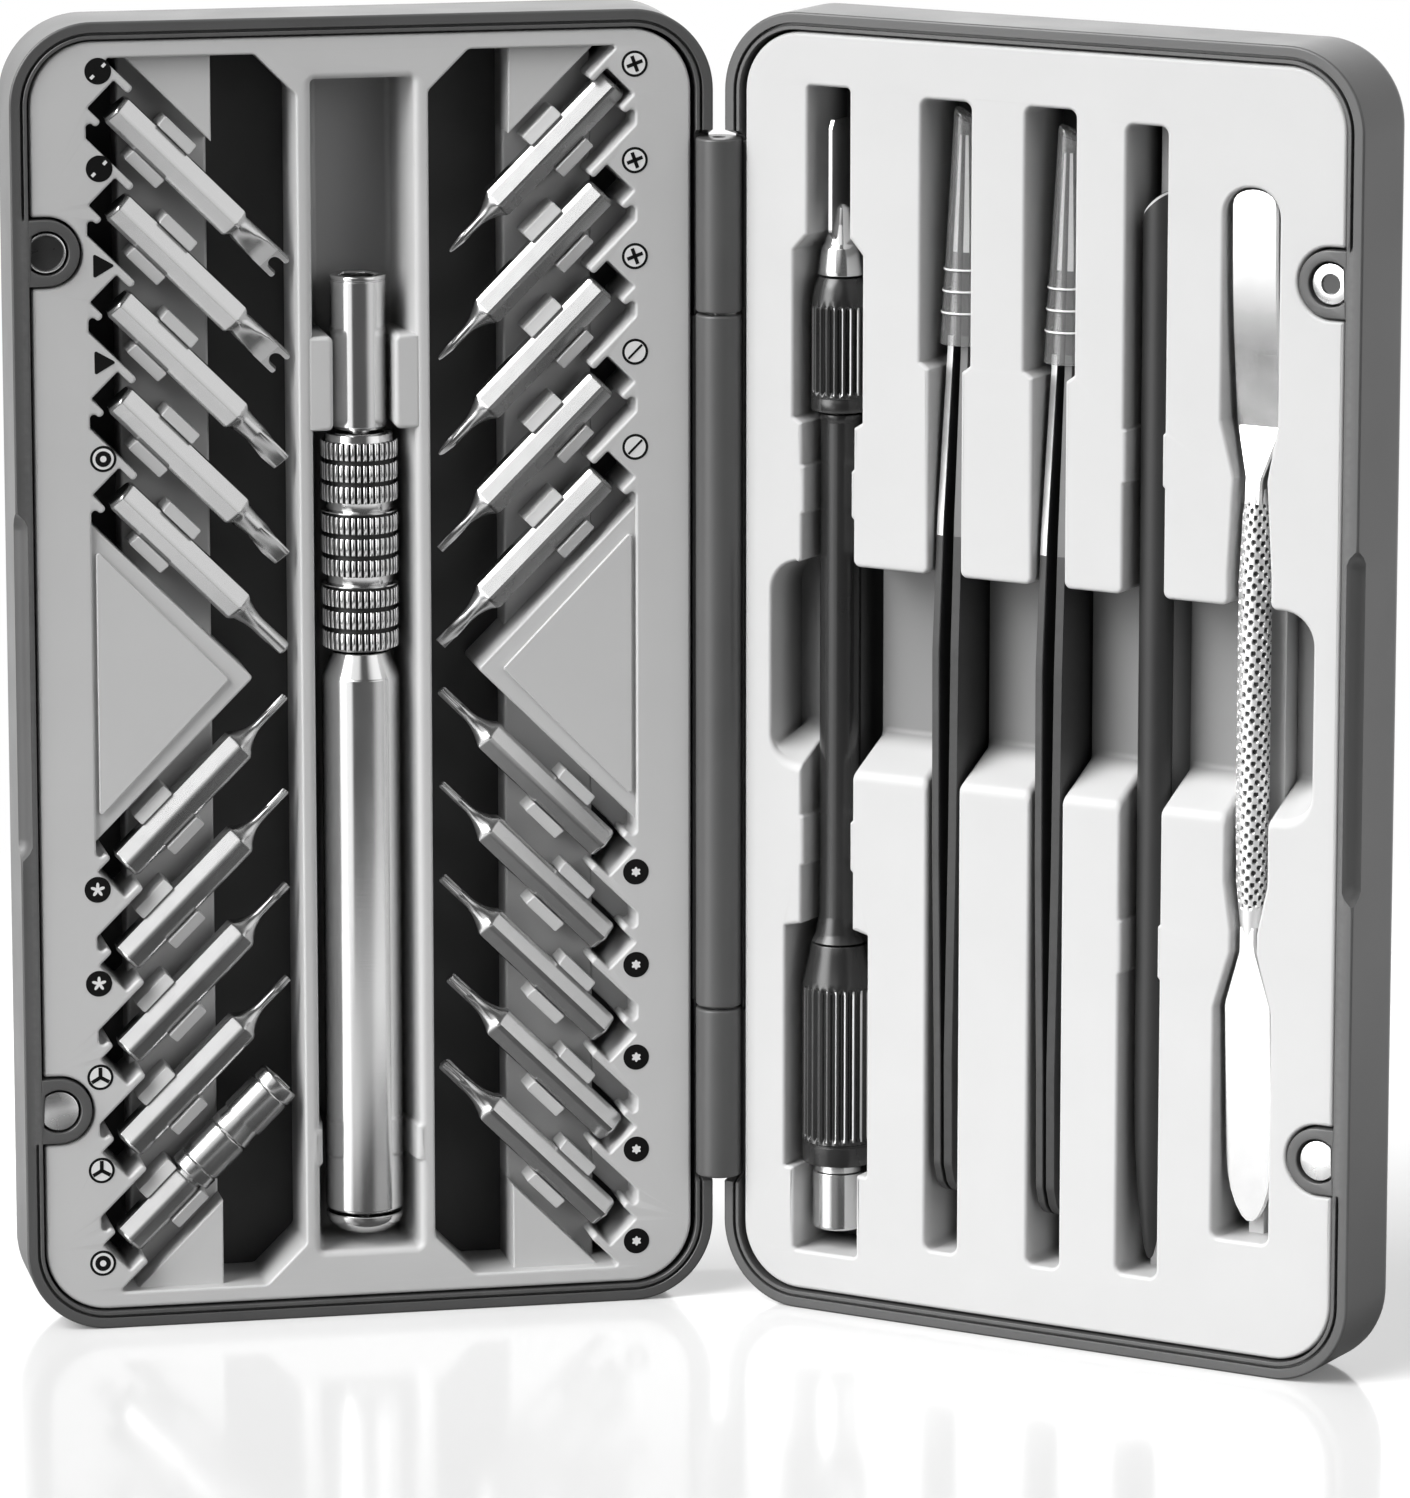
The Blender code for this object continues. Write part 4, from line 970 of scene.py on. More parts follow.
@dataclass
class Magnets:
    """The two closing magnets of a half, each a plated disc with an eased rim."""

    half: HalfFrame
    prefix: str
    dish: float
    radius: float = 2.4
    count: int = 64

    def build(self) -> None:
        """Make both discs; the upper one has a sunk dish inside its rim, painted dark as a painted reflection.
        """
        for up, label in ((1, "upper"), (-1, "lower")):
            r = self.radius
            face = [(0.02, 0.8), (self.dish, 0.8), (self.dish + 0.1, 0.5)] if up > 0 else [(0.02, 0.5)]
            profile = face + [(r - 0.14, 0.5), (r - 0.04, 0.54), (r, 0.65), (r, 2.5), (0.02, 2.5)]
            x, z = self.half.side.value * LUG_REACH, MID + up * LUG_RISE
            skin = Skin()
            skin.loft(turned(profile, self.count), lambda p: np.stack([x + p[:, 0], p[:, 2], z + p[:, 1]], 1))
            # Painted reflection: the upper disc's dish face takes the dark finish.
            if up > 0:
                skin.marks[: self.count] = [1] * self.count
                skin.marks[-2] = 1
            node = f"{self.prefix}_magnet_{label}"
            skin.build(node + "_disc", self.half, [MAGNET_PLATE, MAGNET_DARK_REFLECTION], self.half.body, "plated_steel",
                       node)


@dataclass
class HingePin:
    """Steel pin through the knuckles, seen only at the barrel's ends."""

    half: HalfFrame
    radius: float = 0.8
    sunk: float = 0.25

    def build(self) -> None:
        """Make the pin with eased ends."""
        reach = BARREL_HALF - self.sunk
        skin = Skin().loft(rod(self.radius, MID - reach, MID + reach))
        skin.build("hinge_pin_rod", self.half, [MAGNET_PLATE], self.half.body, "plated_steel", "hinge_pin")


def tray_outline() -> np.ndarray:
    """Edge of a tray on the positive side, with a bay for each magnet lug.

    Returns:
        Points (n, 2), counter-clockwise.
    """
    margin = WALL + FIT
    radius = CORNER - margin
    top = 2 * MID - margin
    room = LUG_RADIUS + FIT
    inner = LUG_REACH - room
    edge = TRAY_OUTER_EDGE
    corners: list[Corner] = [(TRAY_HINGE_EDGE, margin, radius), (edge, margin, radius)]
    for z in (MID - LUG_RISE, MID + LUG_RISE):
        corners += [(edge, z - room, 0.35), (inner, z - room, room - 0.02)]
        corners += [(inner, z + room, room - 0.02), (edge, z + room, 0.35)]
    corners += [(edge, top, radius), (TRAY_HINGE_EDGE, top, radius)]
    return fillet(corners, 6.0)


@dataclass
class BitTray:
    """Left tray: two bit bays with spring posts and chevrons, and the driver's channel."""

    half: HalfFrame
    cells: int = 5
    pitch: float = 11.65
    cell_rise: float = 71.3
    cell_reach: float = 31.4
    bay_edge: float = 33.2
    bay_rise: float = 75.6
    rib_edge: float = 8.0
    bay_chamfer: float = 4.9
    ledge_edge: float = 18.0
    ledge_depth: float = 6.6
    prong_inner: float = 2.3
    prong_outer: float = 3.25
    prong_tip: float = 2.35
    post_span: tuple[float, float] = (7.75, 13.0)
    post_inner: float = 2.06
    post_outer: float = 3.55
    post_front: float = 1.7
    post_slope: float = 0.3
    lug_span: tuple[float, float] = (109.9, 121.4)
    channel_half: float = 6.2
    channel_span: tuple[float, float] = (8.2, 152.4)
    channel_floor: float = 10.2
    channel_draft: float = 1.2
    nub_rises: tuple[float, float, float, float] = (18.8, 19.2, 23.4, 23.8)
    nub: float = 0.4
    lip: float = 0.42

    def build(self) -> None:
        """Make the tray from its plate, the bays' floors and the lugs of the channel."""
        skin = Skin()
        pockets = [self.channel()]
        pockets += [Pocket(self.put(self.bay(), hand), 0.32) for hand in (-1, 1)]
        plate(skin, self.half.mirror(tray_outline()), TRAY_FRONT, TRAY_BACK, self.lip, pockets)
        for hand in (-1, 1):
            self.bay_floor(skin, hand)
            low, high = self.lug_span
            lug = fillet([(3.75, low, 0.8), (6.9, low), (6.9, high), (3.75, high, 0.8)])
            skin.block(self.put(lug - np.array([0, MID]), hand), 0.56, 10.1, 0.55)
        skin.build("bit_tray", self.half, [TRAY_GREY], self.half.body, "tray_plastic", "left_tray")

    def cell_point(self, cell: int, along: float, across: float) -> tuple[float, float]:
        """Reach and rise of a point along a cell's slanting axis, from its notch, and across the axis."""
        reach = self.cell_reach - (along + across) * SLANT
        return reach, self.cell_rise - cell * self.pitch + (across - along) * SLANT

    def put(self, quarter: Sequence[Corner] | np.ndarray, hand: int, up: int = 1) -> np.ndarray:
        """Lay (reach, rise) points on one hand of the tray's centre line."""
        points = np.array([p[:2] for p in quarter], float)
        return forward(np.stack([hand * points[:, 0] - TRAY_CENTRE, MID + up * points[:, 1]], 1))

    def teeth(self) -> list[Corner]:
        """Toothed outer edge of a bay, from its end down to the chevron.

        Returns:
            Corners (reach, rise, radius).
        """
        diagonal = math.sqrt(2)
        step = self.bay_edge - self.cell_reach
        outer, inner, tip, ease_radius = self.prong_outer, self.prong_inner, self.prong_tip, 0.42
        corners: list[Corner] = [(self.cell_reach - outer * diagonal + self.bay_rise - self.cell_rise,
                                  self.bay_rise, 0.3)]
        for cell in range(self.cells):
            rise = self.cell_rise - cell * self.pitch
            corners += [(*self.cell_point(cell, tip, outer), ease_radius),
                        (*self.cell_point(cell, tip, inner), ease_radius),
                        (*self.cell_point(cell, 0, inner), 0.3), (*self.cell_point(cell, 0, -inner), 0.3),
                        (*self.cell_point(cell, tip, -inner), ease_radius),
                        (*self.cell_point(cell, tip, -outer), ease_radius),
                        (self.bay_edge, rise - outer * diagonal + step, 0.5),
                        (self.bay_edge, rise - self.pitch + outer * diagonal + step, 0.5)]
        return corners

    def bay(self) -> np.ndarray:
        """Opening of one bay, with the straight edge behind the chevron.

        Returns:
            Points (reach, rise).
        """
        upper = self.teeth()
        lower = [(x, -z, *r) for x, z, *r in reversed(upper)]
        rib = [(self.rib_edge, self.bay_chamfer - self.bay_rise, 1.0)]
        rib = [(self.rib_edge + self.bay_chamfer, -self.bay_rise, 1.0)] + rib
        rib += [(x, -z, r) for x, z, r in reversed(rib)]
        return fillet(upper[:-1] + lower[1:] + rib, 9.0)

    def bay_floor(self, skin: Skin, hand: int) -> None:
        """Ledge, chevron, corner platforms and spring posts of one bay.

        Args:
            skin: where it goes.
            hand: left or right bay, by its sign.
        """
        inside, rise = self.cell_reach - 2.6, self.bay_rise + 0.6
        ledge = [(self.ledge_edge, -rise), (inside, -rise), (inside, rise), (self.ledge_edge, rise)]
        skin.block(self.put(ledge, hand), self.ledge_depth, TRAY_BACK - 0.05, 0.4)
        gap = self.pitch / math.sqrt(2)
        for cell in range(self.cells) if hand > 0 else ():
            for up in (-1, 1):
                bridge = [self.cell_point(cell, reach - across, across) for reach, across in
                          ((3.8, -2.5), (-2.7, -2.5), (-2.7, 2.5 - gap), (3.8, 2.5 - gap))]
                skin.block(self.put(bridge, hand, up), self.ledge_depth + 0.02, TRAY_BACK - 0.07, 0.2)
        height = self.teeth()[-1][1]
        point = self.bay_edge - height
        chevron = fillet([(self.bay_edge + 0.6, -height - 0.6), (self.bay_edge + 0.6, height + 0.6),
                          (point, 0, 0.5)], 9.0)
        skin.block(self.put(chevron, hand), 1.1, TRAY_BACK - 0.05, 0.3)
        border, edge = 3.0, self.bay_edge - 0.5
        field = fillet([(edge, border - height, 0.3), (edge, height - border, 0.3),
                        (point + border, 0, 0.4)], 9.0)
        skin.block(self.put(field, hand), 0.62, 2.0, 0.16)
        side = 10.5
        platform = [(self.ledge_edge, self.bay_rise + 0.5), (self.ledge_edge + side + 0.5, self.bay_rise + 0.5),
                    (self.ledge_edge, self.bay_rise - side)]
        for up in (-1, 1):
            skin.block(self.put(platform, hand, up), 2.2, TRAY_BACK - 0.05, 0.3)
            for cell in range(self.cells):
                for across in (-1, 1):
                    self.post(skin, across, self.cell_seat(hand, up, cell))

    def cell_seat(self, hand: int, up: int, cell: int) -> Seat:
        """Lay points of a bit cell, (along its axis, back, across it), on the tray.

        Args:
            hand: left or right quarters, by its sign.
            up: upper or lower quarters, by its sign.
            cell: number of the cell from the end.

        Returns:
            The seat of such points.
        """
        def place(points: np.ndarray) -> np.ndarray:
            """Lay the points."""
            reach, rise = self.cell_point(cell, points[:, 0], points[:, 2])
            return np.stack([hand * reach - TRAY_CENTRE, points[:, 1], MID + up * rise], 1)
        return place

    def post(self, skin: Skin, across: int, seat: Seat) -> None:
        """Spring post beside a bit, whose top slopes away from the bit.

        Args:
            skin: where it goes.
            across: side of the bit, by its sign.
            seat: seat of the cell.
        """
        low, high = self.post_span
        near, far = sorted((across * self.post_inner, across * self.post_outer))
        outline = box(low, high, near, far, 0.25, 15.0)
        slope = self.post_slope * (np.abs(outline[:, 1]) - self.post_inner)
        skin.block(outline, self.post_front + slope, TRAY_BACK - 0.1, 0.16, seat)

    def channel(self) -> Pocket:
        """Driver channel with two nubs at its foot; its walls lean in towards the floor.

        Returns:
            The channel as a pocket.
        """
        outlines = []
        foot, start, end, head = self.nub_rises
        for draft in (0.0, self.channel_draft):
            half = self.channel_half - draft
            low, high = self.channel_span[0] + draft / 2, self.channel_span[1] - draft / 2
            nub = half - self.nub
            steps = [(half, low, 0.6), (half, foot, 0.1), (nub, start, 0.1), (nub, end, 0.1), (half, head, 0.1)]
            steps += [(half, high, 0.6)]
            other = [(-x, z, r) for x, z, r in reversed(steps)]
            outlines.append(fillet(steps + other, 9.0) - np.array([TRAY_CENTRE, 0]))
        return Pocket(outlines[0], 0.85, self.channel_floor, outlines[1], 0.8)


@dataclass
class ToolTray:
    """Right tray: five tool slots crossed by a thumb trench with a sloping lower side."""

    half: HalfFrame
    trench: tuple[float, float, float, float] = (7.0, 79.9, 67.6, 93.3)
    trench_depth: float = 8.2
    trench_round: float = 4.0
    ramp_rise: float = 4.3
    boss_round: float = 0.9
    deep: float = 10.3
    margin: float = 6.0
    floors: tuple[float, float] = (9.6, 9.4)
    rails: tuple[float, float] = (6.4, 5.2)
    bridge_depth: float = 5.2
    lip: float = 0.45

    def build(self) -> None:
        """Make the tray from its front plate, the slots' floors and the trench's floor."""
        skin = Skin()
        opening = RampedPocket(self.comb(), self.lip, self.ramp(), self.ramp_share)
        plate(skin, self.half.mirror(tray_outline()), TRAY_FRONT, TRAY_BACK, self.lip, [opening])
        low, high = self.margin, 2 * MID - self.margin
        self.slab(skin, self.margin, TRAY_OUTER_EDGE - 2.3, low, high, self.deep, 0.02)
        left, right, foot, head = self.trench
        slots = self.slots()
        for (near, far), depth, rail in zip(slots[3:], self.floors, self.rails):
            middle = (near[0][0] + far[0][0]) / 2
            for z0, z1 in ((low + 2, foot - 1.0), (head + 0.5, high - 2)):
                self.slab(skin, near[0][0] - 3.0, far[0][0] + 3.0, z0, z1, depth, 0.03)
                self.slab(skin, middle - 1.0, middle + 1.0, z0, z1, rail, 0.06)
        edges = [left - 0.6] + [self.at(edge, MID) for slot in slots for edge in slot] + [right + 0.6]
        for x0, x1 in zip(edges[::2], edges[1::2]):
            self.slab(skin, x0, x1, foot + 1.5, head + 0.6, self.trench_depth, 0.04)
        self.slab(skin, edges[-3] + 0.2, edges[-2], foot - 1.5, head + 1.0, self.bridge_depth, 0.05)
        skin.build("tool_tray", self.half, [TOOL_TRAY_GREY], self.half.body, "tray_plastic", "right_tray")

    @staticmethod
    def slab(skin: Skin, x0: float, x1: float, z0: float, z1: float, depth: float, gap: float) -> None:
        """One floor of the tray, from its depth to a little before the back."""
        skin.block(np.array([(x0, z0), (x1, z0), (x1, z1), (x0, z1)]), depth, TRAY_BACK - gap, 0.12)

    def ramp(self) -> np.ndarray:
        """Slope of the trench's lower side: over its lip, down the slope and into the floor.

        Returns:
            Depth and rise (n, 2) of each row.
        """
        corners = [(TRAY_FRONT, -9.0), (TRAY_FRONT, 0.35, 1.5), (self.trench_depth, self.ramp_rise, 0.9),
                   (self.trench_depth, 19.0), (-50.0, 19.0), (-50.0, -9.0)]
        return fillet(corners, 9.0)[1:-3]

    def ramp_share(self, outline: np.ndarray) -> np.ndarray:
        """How far each point of the opening belongs to the trench's lower side, from 0 to 1."""
        rise = outline[:, 1] - self.trench[2]
        return np.where(rise < -self.boss_round - 0.02, 0.0, ease(1 - rise / self.trench_round))

    @staticmethod
    def nubs(left: float, right: float, nub: float, spans: Sequence[tuple[float, float]]) -> list[Corner]:
        """Steps (left, right, height) of a slot that draws in by a nub over each span.

        Args:
            left: left edge of the slot.
            right: right edge of the slot.
            nub: how far it draws in.
            spans: foot and head of each nub.

        Returns:
            The steps from foot to head.
        """
        steps: list[Corner] = []
        for low, high in spans:
            inner = (left + nub, right - nub)
            steps += [(left, right, low), (*inner, low + nub), (*inner, high - nub), (left, right, high)]
        return steps

    def slots(self) -> list[tuple[list[Corner], list[Corner]]]:
        """Left and right edge of each slot from foot to head, as (x, z, radius) corners.

        Returns:
            Corners of both edges of each slot.
        """
        knife = [(-4.5, 4.2, 7.3), (-4.5, 4.2, 17.7), (-5.8, 5.6, 17.71), (-5.8, 5.6, 47.9), (-3.6, 3.5, 48.4)]
        knife += self.nubs(-3.6, 3.5, 0.35, [(55.5, 62.0), (99.0, 105.2)])
        knife += [(-3.6, 3.5, 110.2), (-4.8, 4.6, 110.9), (-4.8, 4.6, 131.2), (-2.9, 2.8, 133.2)]
        knife += [(-2.9, 2.8, 151.2)]
        tweezer = [(-2.15, 2.2, 9.6), (-2.15, 2.2, 118.2), (-3.4, 3.3, 119.0), (-3.4, 3.3, 150.6)]
        spudger = [(-2.7, 2.7, 10.2)] + self.nubs(-2.7, 2.7, 0.3, [(47.0, 53.8), (106.5, 113.2)])
        spudger += [(-2.7, 2.7, 149.4)]
        pry = [(-3.75, 3.7, 16.3), (-3.75, 3.7, 44.5), (-1.6, 1.7, 51.5), (-1.6, 1.7, 54.0), (-2.5, 3.0, 60.0)]
        pry += [(-2.5, 3.0, 97.0), (-1.9, 2.3, 108.5), (-3.7, 3.6, 115.2), (-3.7, 3.6, 143.0)]
        places = [(14.8, knife, 0.5, 0.5), (30.7, tweezer, 1.0, 1.0), (44.7, tweezer, 1.0, 1.0)]
        places += [(57.4, spudger, 1.0, 1.0), (71.2, pry, 1.0, 3.4)]
        made = []
        for centre, steps, foot, head in places:
            radii = [foot] + [0.25] * (len(steps) - 2) + [head]
            made.append(([(centre + x0, z, r) for (x0, _, z), r in zip(steps, radii)],
                         [(centre + x1, z, r) for (_, x1, z), r in zip(steps, radii)]))
        return made

    def comb(self) -> np.ndarray:
        """Edge of the opening that the trench and the five slots make together, walked round once.

        Returns:
            Points (n, 2), counter-clockwise.
        """
        x0, x1, foot, head = self.trench
        slots = self.slots()
        boss = self.boss_round
        joint = [(0.3, boss)] + [(boss, boss)] * (len(slots) - 1)
        corners: list[Corner] = [(x0, foot, self.trench_round)]
        for (left, right), (near, far) in zip(slots, joint):
            corners.append((self.at(left, foot), foot, near))
            corners += [c for c in reversed(left) if c[1] < foot] + [c for c in right if c[1] < foot]
            corners.append((self.at(right, foot), foot, far))
        corners += [(x1, foot, self.trench_round), (x1, head, self.trench_round)]
        for (left, right), (near, far) in zip(reversed(slots), reversed(joint)):
            corners.append((self.at(right, head), head, far))
            corners += [c for c in right if c[1] > head] + [c for c in reversed(left) if c[1] > head]
            corners.append((self.at(left, head), head, near))
        corners.append((x0, head, self.trench_round))
        return forward(fillet(corners, 9.0))

    @staticmethod
    def at(edge: Sequence[Corner], z: float) -> float:
        """Where a slot's edge is at a height."""
        heights = [corner[1] for corner in edge]
        return float(np.interp(z, heights, [corner[0] for corner in edge]))


class BitKind(Enum):
    """Kinds of bit by the shape of the tip."""

    FORK = "fork"
    TRIANGLE = "triangle"
    PIN = "pin"
    STAR = "star"
    TRIWING = "triwing"
    CROSS = "cross"
    SLOT = "slot"
    LOBE = "lobe"
    SOCKET = "socket"


# Bits of each quarter of the tray, by hand and up, from its end to its chevron.
QUARTERS: dict[tuple[int, int], tuple[str, ...]] = {
    (-1, 1): ("fork_1", "fork_2", "triangle_1", "triangle_2", "pin_1"),
    (-1, -1): ("socket_adapter", "triwing_2", "triwing_1", "star_2", "star_1"),
    (1, 1): ("cross_1", "cross_2", "cross_3", "slot_1", "slot_2"),
    (1, -1): ("lobe_5", "lobe_4", "lobe_3", "lobe_2", "lobe_1"),
}


@dataclass
class TrayMarks:
    """Printed signs on the left tray that tell the kinds of bits apart."""

    tray: BitTray
    radius: float = 1.6
    thickness: float = 0.03

    def build(self) -> None:
        """Print each quarter's signs beside its bits."""
        shifts = {(-1, 1): (-1.5, 2.8), (-1, -1): (-0.1, 0.5), (1, 1): (-0.1, 2.05), (1, -1): (-0.1, 1.2)}
        skin = Skin()
        for (hand, up), labels in QUARTERS.items():
            for cell, label in enumerate(labels):
                reach, rise = shifts[hand, up]
                rise += self.tray.cell_rise - cell * self.tray.pitch
                spot = np.array([hand * (self.tray.bay_edge + reach) - TRAY_CENTRE, MID + up * rise])
                self.draw(skin, BitKind(label.split("_")[0]), spot)
        half = self.tray.half
        skin.build("tray_marks", half, [PRINT_BLACK, PRINT_WHITE], half.body, "tray_plastic")

    def draw(self, skin: Skin, kind: BitKind, spot: np.ndarray) -> None:
        """Draw one sign: black first, then what is left white on it.

        Args:
            skin: where it goes.
            kind: kind of the bit.
            spot: place of its middle.
        """
        disc = circle(0, 0, self.radius, 40)
        solid = kind in (BitKind.FORK, BitKind.STAR, BitKind.LOBE)
        if kind is BitKind.TRIANGLE:
            angle = np.radians([0, 120, 240])
            self.ink(skin, fillet([(1.75 * math.cos(a), 1.75 * math.sin(a), 0.2) for a in angle]), spot, 0, 1)
            return
        self.ink(skin, disc, spot, 0, 1)
        if not solid:
            self.ink(skin, disc * 0.8, spot, 1, 2)
        if kind in (BitKind.PIN, BitKind.SOCKET):
            self.ink(skin, disc * 0.6, spot, 0, 3)
            self.ink(skin, disc * 0.24, spot, 1, 4)
            return
        shapes = {
            BitKind.FORK: [self.bar(0.55, 0.36, a, 0.98) for a in (45, 225)],
            BitKind.STAR: [self.lobed(0.6, 0.3, 5)],
            BitKind.TRIWING: [self.bar(1.25, 0.46, a, 0.6) for a in (90, 210, 330)],
            BitKind.CROSS: [self.bar(2.0, 0.44, a, 0.0) for a in (20, 110)],
            BitKind.SLOT: [self.bar(2.4, 0.28, 45, 0.0)],
            BitKind.LOBE: [self.lobed(0.5, 0.1, 6)],
        }
        for shape in shapes[kind]:
            self.ink(skin, shape, spot, 1 if solid else 0, 3)

    @staticmethod
    def bar(length: float, width: float, angle: float, out: float) -> np.ndarray:
        """Short stroke at an angle in degrees, its middle at a distance from the sign's centre.

        Args:
            length: length of the stroke.
            width: its width.
            angle: its angle.
            out: distance of its middle.

        Returns:
            Corners (4, 2).
        """
        turn = math.radians(angle)
        along = np.array([math.cos(turn), math.sin(turn)])
        across = np.array([-along[1], along[0]])
        half = length / 2
        ends = [(-half, -width / 2), (half, -width / 2), (half, width / 2), (-half, width / 2)]
        return np.array([along * (out + a) + across * b for a, b in ends])

    @staticmethod
    def lobed(middle: float, swell: float, lobes: int) -> np.ndarray:
        """Lobed dot: its mean radius swells and falls that many times round."""
        radii = middle + swell * np.cos(lobes * (turns(60) - np.pi / 2))
        return spread(radii)

    def ink(self, skin: Skin, shape: np.ndarray, spot: np.ndarray, colour: int, layer: int) -> None:
        """Lay a shape on the tray as a film that stands out by a number of layers."""
        outline, front = forward(shape + spot), TRAY_FRONT - self.thickness * layer
        skin.loft(np.stack([lay(outline, depth) for depth in (front, TRAY_FRONT + 0.1)]), mark=colour)


# Bits


@dataclass
class BitSet:
    """The twenty bits in their cells."""

    tray: BitTray
    flats: float = 4.0
    length: float = 28.2
    body: float = 20.4
    depth: float = 3.4
    start: float = 2.7
    shaft: float = 0.52
    neck: float = 1.6
    neck_length: float = 3.0
    adapter_butt: float = 10.6
    adapter_span: tuple[float, float] = (11.0, 27.0)
    adapter_radius: float = 2.85
    count: int = 48

    def build(self) -> None:
        """Make every bit; those of the upper right-hand quarter have a lower facet painted darker, as a painted
        reflection of the shaded trough beside it.
        """
        starts = {"cross_1": 0.7, "lobe_4": 1.4, "socket_adapter": 2.3}
        shafts = {"triangle_1": 1.32, "triangle_2": 1.32, "pin_1": 0.95, "cross_3": 0.66, "slot_2": 0.8,
                  "lobe_1": 0.68, "lobe_3": 0.66, "lobe_4": 0.8, "lobe_5": 0.9}
        facet = np.zeros((3, self.count), int)
        facet[:, self.count * 7 // 12:self.count * 3 // 4] = 1
        for (hand, up), labels in QUARTERS.items():
            for cell, label in enumerate(labels):
                skin = Skin()
                seat = self.seat(hand, up, cell, starts.get(label, self.start))
                self.shape(skin, BitKind(label.split("_")[0]), shafts.get(label, self.shaft), seat)
                # Painted reflection: one facet of each upper right-hand bit takes the darker finish.
                if hand > 0 and up > 0:
                    skin.marks[self.count:self.count * 4] = facet.ravel().tolist()
                skin.build(f"{label}_bit", self.tray.half, [BIT_STEEL, BIT_FACET_REFLECTION], f"bit_{label}_body",
                           "bit_steel", f"bit_{label}")

    def seat(self, hand: int, up: int, cell: int, start: float) -> Seat:
        """Lay a bit in its cell, its axis on the slant and a corner to the front.

        Args:
            hand: left or right quarters, by its sign.
            up: upper or lower quarters, by its sign.
            cell: number of the cell from the end.
            start: distance of the butt from the notch.

        Returns:
            The seat of the bit's points.
        """
        reach, rise = self.tray.cell_point(cell, start, 0)
        along = np.array([-hand, 0, -up]) / math.sqrt(2)
        back = np.array([0.0, 1.0, 0.0])
        across = np.cross(back, along)
        spot = np.array([hand * reach - TRAY_CENTRE, self.depth, MID + up * rise])
        return lambda p: spot + p[:, :1] * across + p[:, 1:2] * back + p[:, 2:] * along

    def hexagon(self, flats: float, blunt: float = 0.97) -> np.ndarray:
        """Hexagon with a corner to the front and its corners slightly turned off.

        Args:
            flats: width over the flats.
            blunt: share of the corners' radius that is left.

        Returns:
            Points (count, 2).
        """
        corner = flats / math.sqrt(3)
        give = math.acos(flats / 2 / (corner * blunt))
        sides = np.radians(np.arange(6) * 60)
        angle = np.stack([sides - give, sides + give], 1).ravel()
        return section(corner * blunt * np.stack([np.cos(angle), np.sin(angle)], 1), self.count)

    def round(self, radius: float) -> np.ndarray:
        """Circle with the bit's number of points."""
        return circle(0, 0, radius, self.count)

    def polygon(self, corners: Sequence[Corner]) -> np.ndarray:
        """Star-shaped polygon with the bit's number of points."""
        return section(np.array(corners, float), self.count)

    def shape(self, skin: Skin, kind: BitKind, shaft: float, seat: Seat) -> None:
        """Loft a bit from its butt through the hexagonal body and the flared neck to its tip.

        Args:
            skin: where it goes.
            kind: kind of the bit.
            shaft: radius of its round shaft.
            seat: lays its own axes in the case half.
        """
        body = self.adapter_butt if kind is BitKind.SOCKET else self.body
        rows = [(self.hexagon(self.flats * 0.8), 0.0), (self.hexagon(self.flats * 0.9), 0.12)]
        rows += [(self.hexagon(self.flats), 0.55), (self.hexagon(self.flats), body - 0.5)]
        rows += [(self.hexagon(self.flats * 0.9), body - 0.05)]
        if kind is BitKind.SOCKET:
            self.adapter(skin, rows, seat)
            return
        if kind is BitKind.FORK:
            rows += [(self.milled(1.62, half), body + z) for half, z in
                     ((1.62, 0.35), (1.62, 0.9), (1.2, 2.2), (0.8, 3.4), (0.5, 4.4), (0.42, 5.8))]
            self.prongs(skin, seat)
        else:
            share = np.linspace(0, 1, 8)
            flare = shaft + (self.neck - shaft) * (1 - share) ** 2.0
            rows += [(self.round(r), body + 0.35 + self.neck_length * t) for r, t in zip(flare, share)]
            rows += [(shape, body + z) for shape, z in self.tip(kind, shaft)]
        skin.loft(rings_of(*zip(*rows)), seat)

    def milled(self, radius: float, half: float) -> np.ndarray:
        """Circle with two flats at a half thickness from the axis.

        Args:
            radius: radius of the circle.
            half: the half thickness.

        Returns:
            Points (count, 2).
        """
        ring = self.round(radius)
        facing = ring @ FORK_FLAT
        return ring + np.outer(np.clip(facing, -half, half) - facing, FORK_FLAT)

    def tip(self, kind: BitKind, shaft: float) -> list[tuple[np.ndarray, float]]:
        """Sections past the neck, with their heights, for each kind of tip on its round shaft.

        Args:
            kind: kind of the bit.
            shaft: radius of its round shaft.

        Returns:
            Sections and their heights above the hexagon.
        """
        end = self.length - self.body

        def rectangle(width: float, thick: float) -> np.ndarray:
            """Section of a flat blade."""
            half, deep = width / 2, thick / 2
            return self.polygon([(half, -deep), (half, deep), (-half, deep), (-half, -deep)])

        def wings(radius: float, wing: float, number: int) -> np.ndarray:
            """Section with straight wings of one width.

            Args:
                radius: reach of each wing.
                wing: its width.
                number: number of wings.

            Returns:
                Points (count, 2).
            """
            corners = []
            for k in range(number):
                turn = 2 * math.pi * k / number + math.pi / 2
                out = math.hypot(radius, wing / 2)
                lean = math.asin(wing / 2 / out)
                root = wing / 2 / math.sin(math.pi / number) * 1.15
                corners += [(out, turn - lean), (out, turn + lean), (root, turn + math.pi / number)]
            return self.polygon([(r * math.cos(a), r * math.sin(a)) for r, a in corners])

        def flower(radius: float) -> np.ndarray:
            """Section with six lobes: its radius follows a cosine."""
            return spread(radius * (0.85 + 0.15 * np.cos(6 * turns(self.count))))

